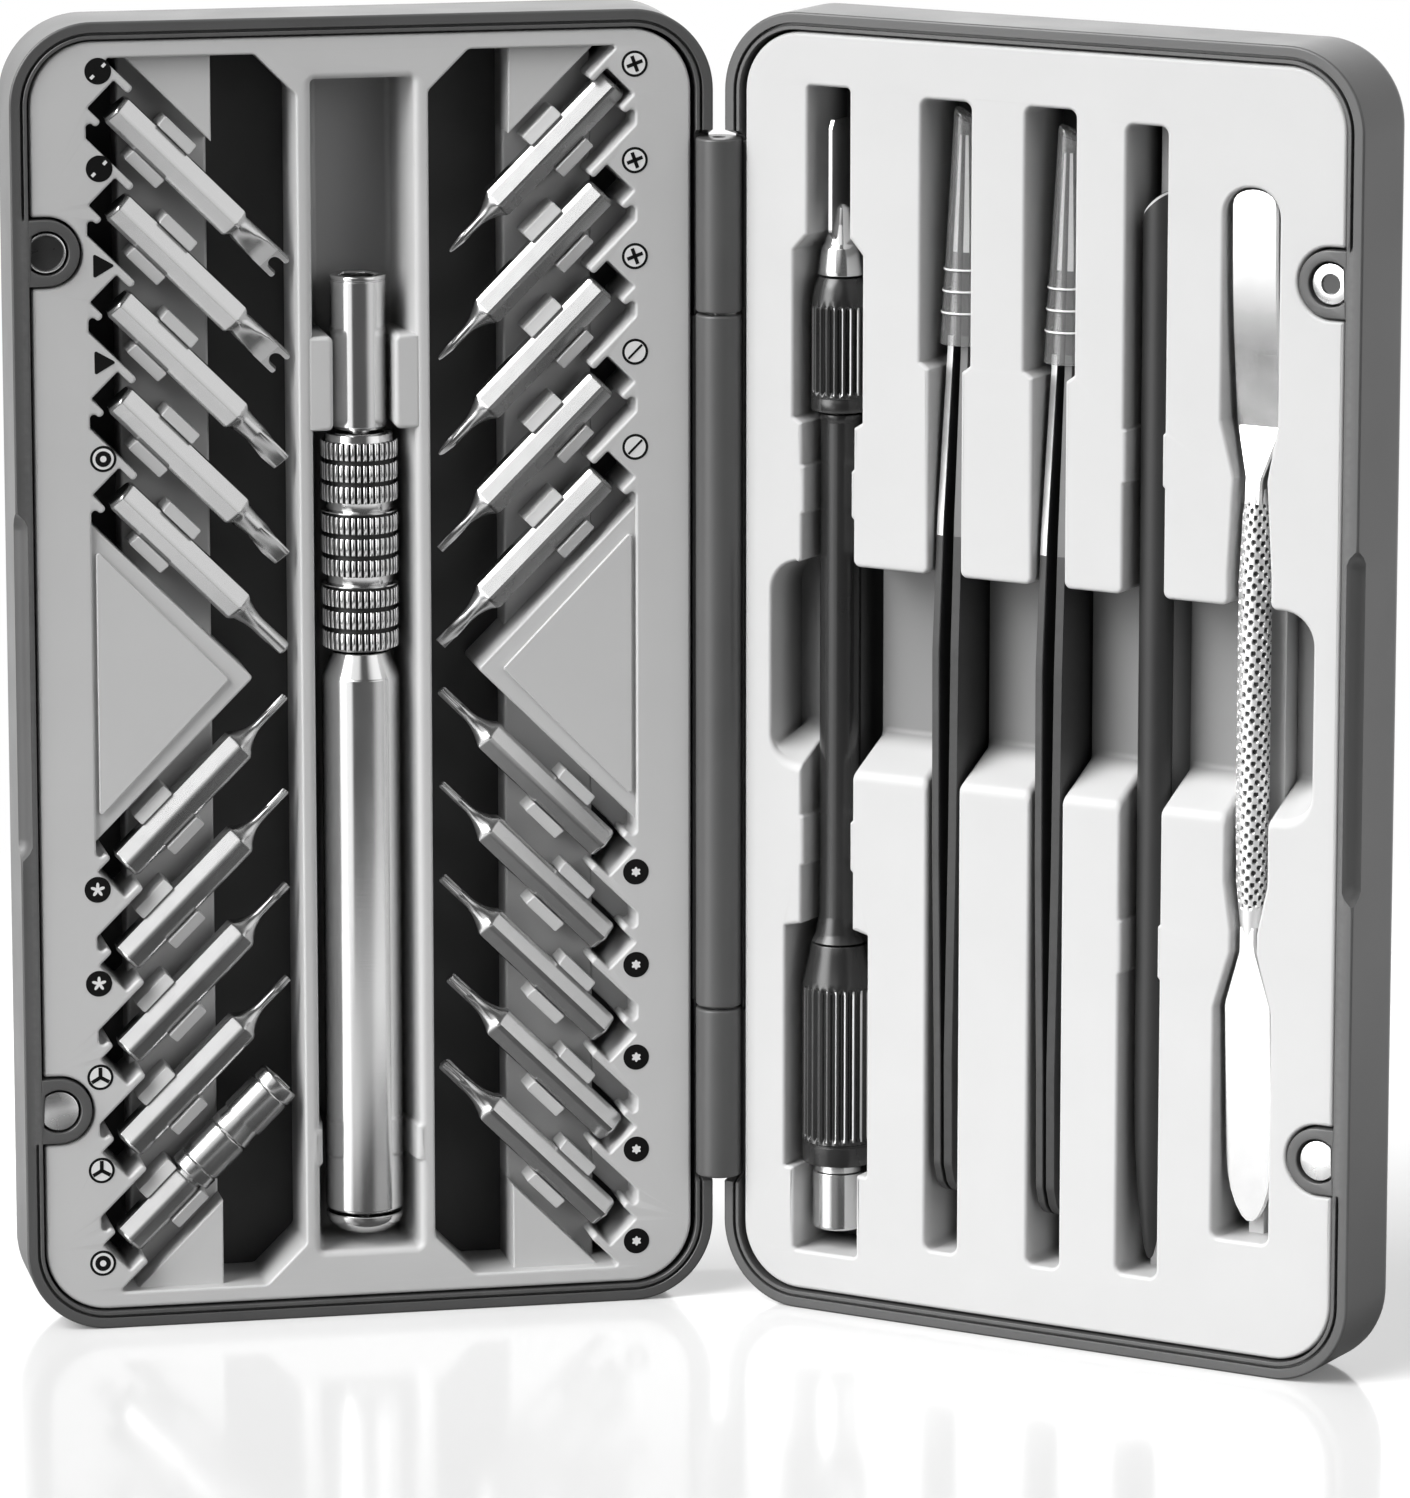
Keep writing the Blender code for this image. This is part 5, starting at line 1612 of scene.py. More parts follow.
        def triangle(radius: float) -> np.ndarray:
            """Triangle with its corners cut off."""
            angle = np.radians([-124, -116, -4, 4, 116, 124])
            return self.polygon(list(zip(radius * np.cos(angle), radius * np.sin(angle))))

        lobes = [(self.round(shaft * 0.97), end - 3.4), (flower(shaft * 0.97), end - 2.8),
                 (flower(shaft * 0.92), end - 0.15), (flower(shaft * 0.72), end)]
        wing = shaft * 0.8
        rows = {
            BitKind.TRIANGLE: [(triangle(1.6), end - 2.2), (triangle(1.5), end - 0.1), (triangle(1.38), end)],
            BitKind.PIN: [(self.round(shaft), end - 0.3), (self.round(shaft * 0.65), end)],
            BitKind.STAR: lobes,
            BitKind.LOBE: lobes,
            BitKind.TRIWING: [(self.round(shaft), end - 2.6), (wings(shaft, wing, 3), end - 1.7),
                              (wings(shaft, wing, 3), end - 0.1), (wings(shaft * 0.8, wing * 0.8, 3), end)],
            BitKind.CROSS: [(self.round(shaft * 0.95), end - 2.8),
                            (wings(shaft * 0.88, wing * 0.9, 4), end - 1.9),
                            (wings(shaft * 0.5, wing * 0.6, 4), end - 0.4), (wings(0.14, 0.12, 4), end)],
            BitKind.SLOT: [(self.round(shaft), end - 4.0), (rectangle(shaft * 1.9, shaft), end - 2.0),
                           (rectangle(shaft * 1.8, 0.3), end)],
        }
        return rows[kind]

    def prongs(self, skin: Skin, seat: Seat) -> None:
        """End of a fork: a plate between the flats with a round notch between two short prongs.

        Args:
            skin: where it goes.
            seat: lays its own axes in the case half.
        """
        low, high = self.body + 5.0, self.length
        wide, notch, deep = 1.6, 0.86, 1.8
        corners = [(-wide, low), (wide, low), (wide, high, 0.3), (notch, high, 0.3)]
        corners += [(notch, high - deep, notch - 0.01), (-notch, high - deep, notch - 0.01)]
        corners += [(-notch, high, 0.3), (-wide, high, 0.3)]
        outline = forward(fillet(corners, 12.0))
        rings = [lay(offset(outline, -shift), depth) for shift, depth in
                 ((0.1, -0.42), (0.03, -0.39), (0.0, -0.3), (0.0, 0.3), (0.03, 0.39), (0.1, 0.42))]
        turn = np.array([(-FORK_FLAT[1], FORK_FLAT[0], 0), (FORK_FLAT[0], FORK_FLAT[1], 0), (0, 0, 1)])
        skin.loft(np.stack(rings) @ turn, seat)

    def adapter(self, skin: Skin, rows: list[tuple[np.ndarray, float]], seat: Seat) -> None:
        """Round socket body with two knurled bands and a hexagonal mouth.

        Args:
            skin: where it goes.
            rows: sections and heights of its hexagonal butt.
            seat: lays its own axes in the case half.
        """
        (low, high), radius = self.adapter_span, self.adapter_radius
        knurl = spread(radius - 0.11 * (1 + np.cos(24 * turns(self.count))))
        profile = [(2.3, low), (radius - 0.15, low + 0.1), (radius, low + 0.3), (radius, low + 1.6)]
        rows = rows + [(self.round(r), z) for r, z in profile]
        for band in (low + 2.0, low + 9.4):
            rows += [(self.round(radius - 0.22), band - 0.2), (knurl, band), (knurl, band + 4.6),
                     (self.round(radius - 0.22), band + 4.8), (self.round(radius), band + 5.1)]
        rim = [(radius, high - 0.35), (radius - 0.1, high - 0.1), (radius - 0.35, high)]
        rows += [(self.round(r), z) for r, z in rim]
        rows += [(self.hexagon(self.flats + 0.5), high), (self.hexagon(self.flats), high - 0.4)]
        rows += [(self.hexagon(self.flats), high - 8)]
        skin.loft(rings_of(*zip(*rows)), seat)


# Tools on their own axes


def axis_seat(x: float, y: float, z: float = 0.0) -> Seat:
    """Stand a tool upright at a place of its half."""
    return lambda p: p + np.array([x, y, z])


def ribbed(profile: Sequence[tuple[float, float, float]], ribs: int, count: int, sharp: float) -> np.ndarray:
    """Turned surface whose radius falls between ribs.

    The radius at an angle is the profile's radius less its cut times the share of the groove, which
    is the rib wave (one plus the cosine of ribs times the angle, halved) raised to a power.

    Args:
        profile: radius, height and depth of cut for each ring.
        ribs: number of ribs.
        count: points round each ring.
        sharp: power of the groove; above 1 the grooves are narrower.

    Returns:
        Rings (m, count, 3).
    """
    radius, height, cut = np.array(profile, float).T
    groove = (0.5 + 0.5 * np.cos(ribs * turns(count))) ** sharp
    return polar(radius[:, None] - cut[:, None] * groove, height, count)


def rib_faces(profile: Sequence[tuple[float, float, float]], ribs: int, count: int,
              span: tuple[float, float]) -> list[int]:
    """Tell which faces of a ribbed surface lie in a span of each rib's turn.

    The turn is the angle times the number of ribs, as a share from -0.5 to 0.5 with 0 in the groove.

    Args:
        profile: radius, height and depth of cut for each ring.
        ribs: number of ribs.
        count: points round each ring.
        span: part of the turn.

    Returns:
        For each face, ring by ring, 1 inside the span and 0 elsewhere.
    """
    cut = np.array(profile, float)[:, 2]
    turn = ((np.arange(count) + 0.5) * ribs / count + 0.5) % 1 - 0.5
    inside = (turn > span[0]) & (turn < span[1])
    deep = (cut[:-1] > 0.1) & (cut[1:] > 0.1)
    return (deep[:, None] & inside).astype(int).ravel().tolist()


@dataclass
class Driver:
    """Driver handle: chuck, ringed grip, polished barrel and a domed cap that spins."""

    half: HalfFrame
    depth: float = 5.1
    radius: float = 4.72
    chuck_radius: float = 3.4
    waist: float = 4.1
    land: float = 4.2
    crest: float = 4.7
    ring: float = 2.15
    ring_pitch: float = 2.62
    bundle_pitch: float = 9.0
    ribs: int = 38
    socket_flats: float = 4.3
    socket_depth: float = 12.0
    chuck: tuple[float, float] = (109.6, 128.3)
    grip: tuple[float, float] = (82.5, 109.2)
    barrel: tuple[float, float] = (12.5, 82.2)
    cap: tuple[float, float] = (9.3, 12.2)

    def build(self) -> None:
        """Make every piece of the handle."""
        seat = axis_seat(-TRAY_CENTRE, self.depth)
        profile, ribs = self.grip_profile(), self.ribs
        grip = ribbed(profile, ribs, ribs * RIB_POINTS, 3.0)
        # Painted shade: faces in the grooves between ribs and on the lands between rings take a dark finish.
        dark = np.array(rib_faces(profile, ribs, ribs * RIB_POINTS, (-0.2, 0.2))).reshape(-1, ribs * RIB_POINTS)
        radii = np.array(profile)[:, 0]
        dark[(radii[:-1] == self.land) & (radii[1:] == self.land)] = 1
        makers = [("chuck", self.chuck_rings(), CHUCK_STEEL, "driver", []),
                  ("grip", grip, ALLOY, "driver", dark.ravel().tolist()),
                  ("barrel", self.barrel_rings(), ALLOY, "driver", []),
                  ("end_cap", self.cap_rings(), ALLOY, "driver_cap", [])]
        for name, rings, finish, body, marks in makers:
            skin = Skin().loft(rings, seat, marks=marks)
            skin.build(f"handle_{name}", self.half, [finish, GROOVE_SHADE], body, "driver_alloy",
                       f"driver_{name}")
        socket = self.chuck[1] - self.socket_depth
        for name, radius, low, high in (("chuck_magnet", 1.7, socket + FIT, socket + 2),
                                        ("cap_pin", 0.8, self.cap[0] + 1.6, self.barrel[0] + 6.5)):
            skin = Skin().loft(rod(radius, low, high), seat)
            skin.build(f"handle_{name}", self.half, [MAGNET_PLATE], "driver", "plated_steel", f"driver_{name}")

    def chuck_rings(self) -> np.ndarray:
        """Polished sleeve with a bright lip and a hexagonal mouth.

        Returns:
            Rings (m, n, 3).
        """
        low, high = self.chuck
        r, count = self.chuck_radius, 96
        profile = rounded([(0.02, low - 7), (1.6, low - 7), (1.6, low), (r - 0.25, low), (r, low + 0.35, 0.1),
                           (r, high - 0.75, 0.05), (r - 0.08, high - 0.7, 0.02), (r - 0.08, high - 0.55, 0.02),
                           (r, high - 0.5, 0.05), (r, high, 0.22), (2.75, high)])
        sleeve = turned(profile, count)
        hexagon = section(np.array([(math.cos(a), math.sin(a)) for a in np.radians(np.arange(6) * 60)])
                          * self.socket_flats / math.sqrt(3), count)
        mouth = rings_of([hexagon * 1.06, hexagon, hexagon],
                         [high - 0.05, high - 0.35, high - self.socket_depth])
        return np.concatenate([sleeve, mouth])

    def grip_profile(self) -> list[tuple[float, float, float]]:
        """Radius, height and cut of nine knurled rings in three groups between smooth waists.

        Returns:
            The three values of each ring, from the foot up.
        """
        low, high = self.grip
        waist, land, crest = self.waist, self.land, self.crest
        profile: list[tuple[float, float, float]] = [(0.02, low, 0), (3.6, low, 0), (waist, low + 0.1, 0)]
        for bundle in range(3):
            foot = low + 0.3 + bundle * self.bundle_pitch
            for k in range(3):
                z = foot + k * self.ring_pitch
                top = z + self.ring
                profile += [(land, z, 0), (crest - 0.1, z + 0.05, 0.2), (crest, z + 0.18, 0.4),
                            (crest, top - 0.18, 0.4), (crest - 0.1, top - 0.05, 0.2), (land, top, 0)]
            if bundle < 2:
                z = foot + 3 * self.ring_pitch - 0.4
                profile += [(land, z + 0.1, 0), (crest - 0.05, z + 0.25, 0), (crest - 0.05, z + 0.4, 0),
                            (waist, z + 0.6, 0), (waist, z + 1.1, 0)]
        return profile + [(waist, high - 0.2, 0), (3.7, high, 0), (0.02, high, 0)]

    def barrel_rings(self) -> np.ndarray:
        """Plain barrel with a tapered shoulder and eased foot.

        Returns:
            Rings (m, n, 3).
        """
        low, high = self.barrel
        r = self.radius
        profile = rounded([(0.02, low), (r - 0.35, low), (r, low + 0.35, 0.25), (r, high - 3.1, 0.15),
                           (r - 0.12, high - 2.9, 0.1), (3.5, high, 0.2), (0.02, high)], 12.0)
        return turned(profile, 128)

    def cap_rings(self) -> np.ndarray:
        """Dome: a quarter ellipse turned about the axis, with a thin groove at its edge.

        Returns:
            Rings (m, n, 3).
        """
        low, high = self.cap
        angle = np.linspace(0.01, np.pi / 2, 22)
        profile = [(self.radius * math.sin(a), high - 0.3 - (high - 0.3 - low) * math.cos(a)) for a in angle]
        profile += [(self.radius, high - 0.1), (self.radius - 0.12, high), (0.02, high)]
        return turned(profile, 96)


@dataclass
class Knife:
    """Collet knife: blade on edge, steel collet, ribbed collar, slim shaft, ribbed grip and bright end."""

    half: HalfFrame
    reach: float = 14.2
    depth: float = 4.95

    def build(self) -> None:
        """Make every piece of the knife; its collet is a cone with a slim nose that holds the blade."""
        seat = axis_seat(self.reach, self.depth)
        shaft = rounded([(0.02, 45.9), (3.4, 45.9), (2.9, 46.9, 1.0), (2.55, 49, 2.0), (2.5, 52, 1.0),
                         (2.5, 110.2, 0.2), (2.6, 110.4), (2.6, 111.2, 0.1), (1.3, 111.2), (1.3, 127.5),
                         (0.02, 127.5)])
        cap = rounded([(0.02, 9.8), (3.2, 9.8, 0.4), (3.2, 16.9, 0.05), (3.0, 17.1, 0.05), (3.0, 17.9),
                       (0.02, 17.9)])
        collet = rounded([(0.02, 128.1), (2.85, 128.1, 0.1), (2.8, 128.6, 0.2), (2.4, 131.4, 0.3),
                          (2.05, 131.9, 0.5), (1.35, 134.2, 1.0), (1.05, 136.2, 0.3), (0.6, 136.7, 0.2),
                          (0.02, 136.7)])
        makers = [("collet", turned(collet, 96), COLLET_STEEL, "knife_steel"),
                  ("shaft", turned(shaft, 64), KNIFE_BLACK, "knife_black"),
                  ("end_cap", turned(cap, 64), COLLET_STEEL, "knife_steel")]
        for name, rings, finish, slot in makers:
            skin = Skin().loft(rings, seat)
            skin.build(f"knife_{name}_part", self.half, [finish], "knife", slot, f"knife_{name}")
        for name, profile, ribs, body in (("collar", self.collar(), 22, "knife_collar_body"),
                                          ("grip", self.grip(), 25, "knife")):
            rings = ribbed(profile, ribs, ribs * RIB_POINTS, 1.4)
            # Painted highlight: a band on one side of each rib takes a bright finish.
            bright = rib_faces(profile, ribs, ribs * RIB_POINTS, (0.22, 0.38))
            skin = Skin().loft(rings, seat, closed=name == "collar", marks=bright)
            skin.build(f"knife_{name}_part", self.half, [KNIFE_BLACK, RIB_HIGHLIGHT], body, "knife_black",
                       f"knife_{name}")
        self.blade(seat)

    def blade(self, seat: Seat) -> None:
        """Chisel blade that stands on edge: its side view carried across its thickness, with bevels.

        Args:
            seat: lays its own axes in the case half.
        """
        outline = forward(fillet([(-2.9, 145.9, 0.1), (-2.3, 147, 0.1), (2.2, 147, 0.1), (2.9, 145.4, 0.1),
                                  (2.9, 133.5, 0.6), (1.3, 131.9), (-1.3, 131.9), (-2.9, 133.5, 0.6)]))
        rings = []
        for x, shift in ((-0.3, -0.14), (-0.22, 0.0), (0.22, 0.0), (0.3, -0.14)):
            shape = offset(outline, shift)
            rings.append(np.stack([np.full(len(shape), x), shape[:, 0], shape[:, 1]], 1))
        skin = Skin().loft(np.stack(rings), seat)
        skin.build("knife_blade_part", self.half, [BIT_STEEL], "knife", "knife_steel", "knife_blade")

    @staticmethod
    def collar() -> list[tuple[float, float, float]]:
        """Radius, height and cut of the bored, ribbed sleeve with a plain foot ring and a domed head.

        Returns:
            The three values of each ring, from the foot up.
        """
        profile = [(1.6, 111.5, 0), (3.3, 111.5, 0), (3.6, 111.65, 0), (3.68, 111.9, 0), (3.68, 113.0, 0),
                   (3.6, 113.15, 0), (3.6, 113.3, 0), (3.68, 113.5, 0), (3.68, 113.75, 0.15),
                   (3.68, 114.1, 0.5), (3.68, 124.0, 0.5), (3.66, 124.4, 0.15), (3.6, 124.7, 0)]
        return profile + [(3.5, 125.4, 0), (3.3, 126.4, 0), (3.0, 127.3, 0), (2.7, 127.8, 0), (2.4, 127.9, 0),
                          (1.6, 127.9, 0)]

    @staticmethod
    def grip() -> list[tuple[float, float, float]]:
        """Radius, height and cut of the ribbed grip with a plain foot ring and a cone above.

        Returns:
            The three values of each ring, from the foot up.
        """
        profile = [(0.02, 18.1, 0), (4.2, 18.1, 0), (4.45, 18.25, 0), (4.52, 18.5, 0), (4.52, 20.5, 0),
                   (4.4, 20.62, 0), (4.4, 20.8, 0), (4.55, 20.95, 0), (4.55, 21.3, 0.12), (4.55, 21.8, 0.5),
                   (4.55, 39.8, 0.5), (4.52, 40.3, 0.12), (4.48, 40.7, 0), (4.3, 41.2, 0), (3.9, 43.2, 0)]
        return profile + [(3.6, 44.6, 0), (3.45, 45.5, 0), (3.4, 45.6, 0), (0.02, 45.6, 0)]


@dataclass
class Tweezers:
    """Black tweezers on edge: two bowed arms and a clear cap over their tips."""

    half: HalfFrame
    number: int
    reach: float
    shift: float
    depth: float = 5.4
    bare_span: tuple[float, float] = (97.0, 120.4)
    tip_foot: float = 131.0

    def build(self) -> None:
        """Make both arms and the tip cap."""
        seat = axis_seat(self.reach, self.depth, self.shift)
        body = f"tweezers_{self.number}"
        finishes = [TWEEZER_BLACK, TWEEZER_BARE, TWEEZER_BARE_SHADE, TWEEZER_TIP_HIGHLIGHT]
        for label, hand in (("left", -1), ("right", 1)):
            rings, marks = self.arm(hand)
            skin = Skin().loft(rings, seat, marks=marks)
            skin.build(f"{body}_{label}_arm", self.half, finishes, body, "tweezer_black", f"{body}_arm_{label}")
        rings, ribs = self.cap()
        # Painted highlight: the rib crests take a white glossy finish.
        bright = np.isin(np.arange(len(rings)), ribs).astype(int).repeat(rings.shape[1])
        skin = Skin().loft(rings, seat, closed=True, marks=bright.tolist())
        skin.build(f"{body}_clear_cap", self.half, [CLEAR, CAP_RIB_HIGHLIGHT], body, "clear_plastic", f"{body}_tip_cap")

    def arm(self, hand: int) -> tuple[np.ndarray, list[int]]:
        """One arm: a rounded rectangle carried up its stations, bare along its front above the middle; the
        right arm's bare strip is a darker copy as painted shade, and the tips carry a painted highlight.

        Stations give the height, the arm's distance from the middle, its thickness and half its
        width; between them the values run straight.

        Args:
            hand: left or right arm, by its sign.

        Returns:
            The arm's rings, and the number of the finish of each face between them.
        """
        stations = np.array([(16.6, 0.75, 1.0, 1.3), (17.1, 0.75, 1.1, 2.5), (18.2, 0.75, 1.1, 3.5),
                             (20.5, 0.75, 1.1, 4.3), (34, 0.75, 1.1, 4.5), (60, 1.15, 1.1, 4.5),
                             (84, 1.3, 1.1, 4.4), (100, 1.2, 1.1, 3.5), (120, 0.95, 1.0, 1.7),
                             (134, 0.7, 0.8, 0.9), (146, 0.4, 0.4, 0.35)])
        z = np.concatenate([np.linspace(16.6, 21, 12), np.linspace(22, 146, 63)])
        middle, thick, wide = (np.interp(z, stations[:, 0], stations[:, k]) for k in (1, 2, 3))
        flat = 1 - 0.16
        front = np.array([(-1, -1), (-flat, -1), (flat, -1), (1, -1)])
        corner = np.concatenate([front, -front])
        inset = np.array([0.12, 0, 0, 0.12, 0.12, 0, 0, 0.12])
        x = hand * middle[:, None] + corner[:, 0] * thick[:, None] / 2
        lean = 0.2 * hand * corner[:, 0] * thick[:, None] / 2
        y = corner[:, 1] * (wide[:, None] - inset) + lean
        rings = np.stack([x, y, np.broadcast_to(z[:, None], x.shape)], -1)
        level = z[:-1].repeat(len(corner))
        # Painted highlight: faces of the tips take the bright finish (3).
        tip = level > self.tip_foot
        facing = np.arange(len(level)) % len(corner) == 1
        bare = facing & (level > self.bare_span[0]) & (level < self.bare_span[1])
        # Painted shade: the right arm's bare strip takes the darker copy (2).
        marks = np.where(facing & tip, 3, np.where(bare, 1 if hand < 0 else 2, 0))
        return rings, marks.tolist()

    @staticmethod
    def cap() -> tuple[np.ndarray, list[int]]:
        """Thin tapering tube with three ring ribs, closed at its head, which is cut on a slant.

        Returns:
            The tube's rings, and after which of them lie the crests of the ribs and of the foot, which carry a
            painted highlight.
        """
        foot, head, wide, narrow, wall = 120.9, 148.8, 2.9, 1.25, 0.42
        slope = (wide - narrow) / (head - foot)
        profile = [(0.02, head - 0.9), (narrow - wall, head - 0.9), (wide - wall, foot + 0.05),
                   (wide - wall / 2, foot), (wide, foot + 0.08)]
        crests = [3]
        for height in (124.8, 127.4, 130.0):
            radius = wide - slope * (height - foot)
            crests += [len(profile) + 1, len(profile) + 2]
            profile += [(radius, height - 0.3), (radius + 0.14, height - 0.12), (radius + 0.18, height),
                        (radius + 0.14, height + 0.12), (radius, height + 0.3)]
        profile += [(narrow + 0.08, head - 0.5), (narrow - 0.1, head - 0.1), (narrow - 0.35, head),
                    (0.02, head)]
        rings = turned(profile, 48)
        tilt = ease((rings[..., 2] - 140) / 8) * rings[..., 0] * 0.55
        rings[..., 2] -= np.clip(tilt, -1.0, 1.0)
        return rings, crests


@dataclass
class Spudger:
    """Round black stick with a slanting head and a pointed foot."""

    half: HalfFrame
    reach: float = 57.4
    depth: float = 4.3

    def build(self) -> None:
        """Loft the stick from its point to its head, which is cut on a slant across the stick."""
        low = [(0.2, 11.6), (0.42, 11.9), (0.75, 13.2), (1.1, 15.2), (1.55, 19.5), (1.9, 24.5), (2.03, 29),
               (2.07, 34)]
        profile = low + [(2.07, 136.5), (2.07, 139.4), (1.98, 139.75), (1.7, 140.0), (0.02, 140.15)]
        rings = turned(profile, 48)
        rings[..., 2] += 0.85 * ease((rings[..., 2] - 136) / 3) * (rings[..., 0] - 0.35 * rings[..., 1])
        # Painted highlight: the ring of faces at the head's cut edge takes the light finish.
        rim = (np.arange(len(rings) - 1) == len(low) + 1).astype(int).repeat(rings.shape[1])
        skin = Skin().loft(rings, axis_seat(self.reach, self.depth), marks=rim.tolist())
        skin.build("spudger_stick", self.half, [NYLON, NYLON_EDGE_HIGHLIGHT], "spudger_body", "black_nylon", "spudger")


@dataclass
class PryTool:
    """Steel lever with two flat ends and a round knurled middle."""

    half: HalfFrame
    reach: float = 71.2
    depth: float = 2.7
    pit: float = 0.32
    pits_round: int = 9
    pit_pitch: float = 1.47
    pit_twist: float = 0.046

    def build(self) -> None:
        """Make the lever from its two blades and the knurled grip."""
        seat = axis_seat(self.reach, self.depth)
        rings, sunk = self.grip()
        # Painted shade: faces in the pits take the dark finish.
        skin = Skin().loft(rings, seat, mark=1, marks=(1 + sunk.ravel()).tolist())
        lower = [(1.2, 0.7, 18.2, 0.9), (2.6, 0.75, 18.8, 0.88), (4.2, 0.8, 20.2, 0.82),
                 (5.4, 0.85, 22.0, 0.74), (6.1, 0.9, 24, 0.65), (6.4, 0.9, 26.5, 0.54),
                 (6.4, 0.95, 44.6, -0.25), (6.2, 1.0, 45.2, -0.27), (2.5, 2.0, 51.4, 0),
                 (2.3, 2.3, 52.4, 0), (2.3, 2.3, 54.5, 0)]
        upper = [(2.4, 2.4, 105.5, 0), (2.3, 2.3, 107.8, 0), (2.4, 2.0, 108.6, 0.05), (5.9, 1.05, 114.4, 0.95),
                 (6.1, 1.0, 114.6, 0.95), (6.1, 0.99, 117, 0.66), (6.1, 0.98, 119, 0.42),
                 (6.1, 0.97, 123, -0.06), (6.1, 0.96, 127, -0.48), (6.1, 0.95, 131, -0.78),
                 (6.1, 0.95, 135, -0.94)]
        upper += [(width, thick, z, -1.03) for width, thick, z in
                  ((6.1, 0.95, 140.8), (5.8, 0.92, 141.5), (5.1, 0.9, 142.0), (4.0, 0.88, 142.35),
                   (2.6, 0.86, 142.6), (1.0, 0.84, 142.7))]
        for rows in (lower, upper):
            skin.loft(self.blade(rows), seat)
        skin.build("pry_lever", self.half, [PRY_STEEL, PRY_GRIP, PRY_PIT_SHADE], "pry_tool_body", "pry_steel",
                   "pry_tool")

    @staticmethod
    def blade(rows: Sequence[tuple[float, float, float, float]]) -> np.ndarray:
        """Flat bar with bevelled long edges through (width, thickness, height, set back) rows.

        Args:
            rows: the rows from one end to the other.

        Returns:
            Rings (m, 8, 3).
        """
        width, thick, height, back = np.array(rows, float).T
        bevel = np.minimum(0.28, width / 5)[:, None]
        deep = np.minimum(0.26, thick / 3.2)[:, None]
        half, flat = width[:, None] / 2, thick[:, None] / 2
        right = [(half - bevel, -flat), (half, -flat + deep), (half, flat - deep), (half - bevel, flat)]
        left = [(-x, -y) for x, y in right]
        x = np.concatenate([p[0] for p in right + left], 1)
        y = np.concatenate([p[1] for p in right + left], 1) + back[:, None]
        return np.stack([x, y, np.broadcast_to(height[:, None], x.shape)], -1)

    def grip(self) -> tuple[np.ndarray, np.ndarray]:
        """Grip with diamond pits.

        Two sets of slanting waves cross; where both are near their crest the radius falls by the
        pit's depth. The rows of pits climb by one pitch in a turn and lean a little, and fade out
        at the grip's ends.

        Returns:
            The grip's rings, and which of the faces between them lie in a pit, where they take painted shade.
        """
        count = self.pits_round * 18
        angle = turns(count)
        z = np.concatenate([[53.4], np.linspace(53.6, 107.0, 560), [107.2]])
        radius = np.interp(z, [53.4, 54.5, 60, 68, 96, 104, 107.2], [1.15, 1.3, 1.85, 1.98, 1.98, 1.6, 1.2])
        turn = self.pits_round * (angle[None, :] - self.pit_twist * z[:, None])
        climb = 2 * np.pi * z[:, None] / self.pit_pitch + angle[None, :]
        crossing = np.cos(turn + climb) + np.cos(turn - climb)
        fade = (ease((z - 56.5) / 1.0) * ease((106.0 - z) / 1.0))[:, None]
        share = ease((crossing - 0.35) / 0.5) * fade
        return polar(radius[:, None] - self.pit * share, z, count), (share[:-1] > 0.4).astype(int)


# Studio


@dataclass(frozen=True)
class Softbox:
    """Soft round light in the world: its angle from the camera's side, its rise and its level."""

    angle: float
    rise: float
    level: float
    edge: float = 36.0
    core: float = 8.0

    def direction(self) -> Vector:
        """Direction towards the light; the angle runs to the camera's right."""
        turn, up = math.radians(self.angle), math.radians(self.rise)
        return Vector((math.sin(turn) * math.cos(up), -math.cos(turn) * math.cos(up), math.sin(up)))

    def glow(self, tree: Tree, place: Socket) -> Socket:
        """Level of the light along each ray: full in its core, and none past its edge.

        Args:
            tree: the world's node tree.
            place: direction of each ray.

        Returns:
            Socket of the level.
        """
        facing = wired(tree, "VectorMath", {0: place, 1: self.direction()}, "Value", operation="DOT_PRODUCT")
        span = (math.cos(math.radians(self.edge)), math.cos(math.radians(self.core)))
        return band(tree, facing, span, (0.0, self.level))


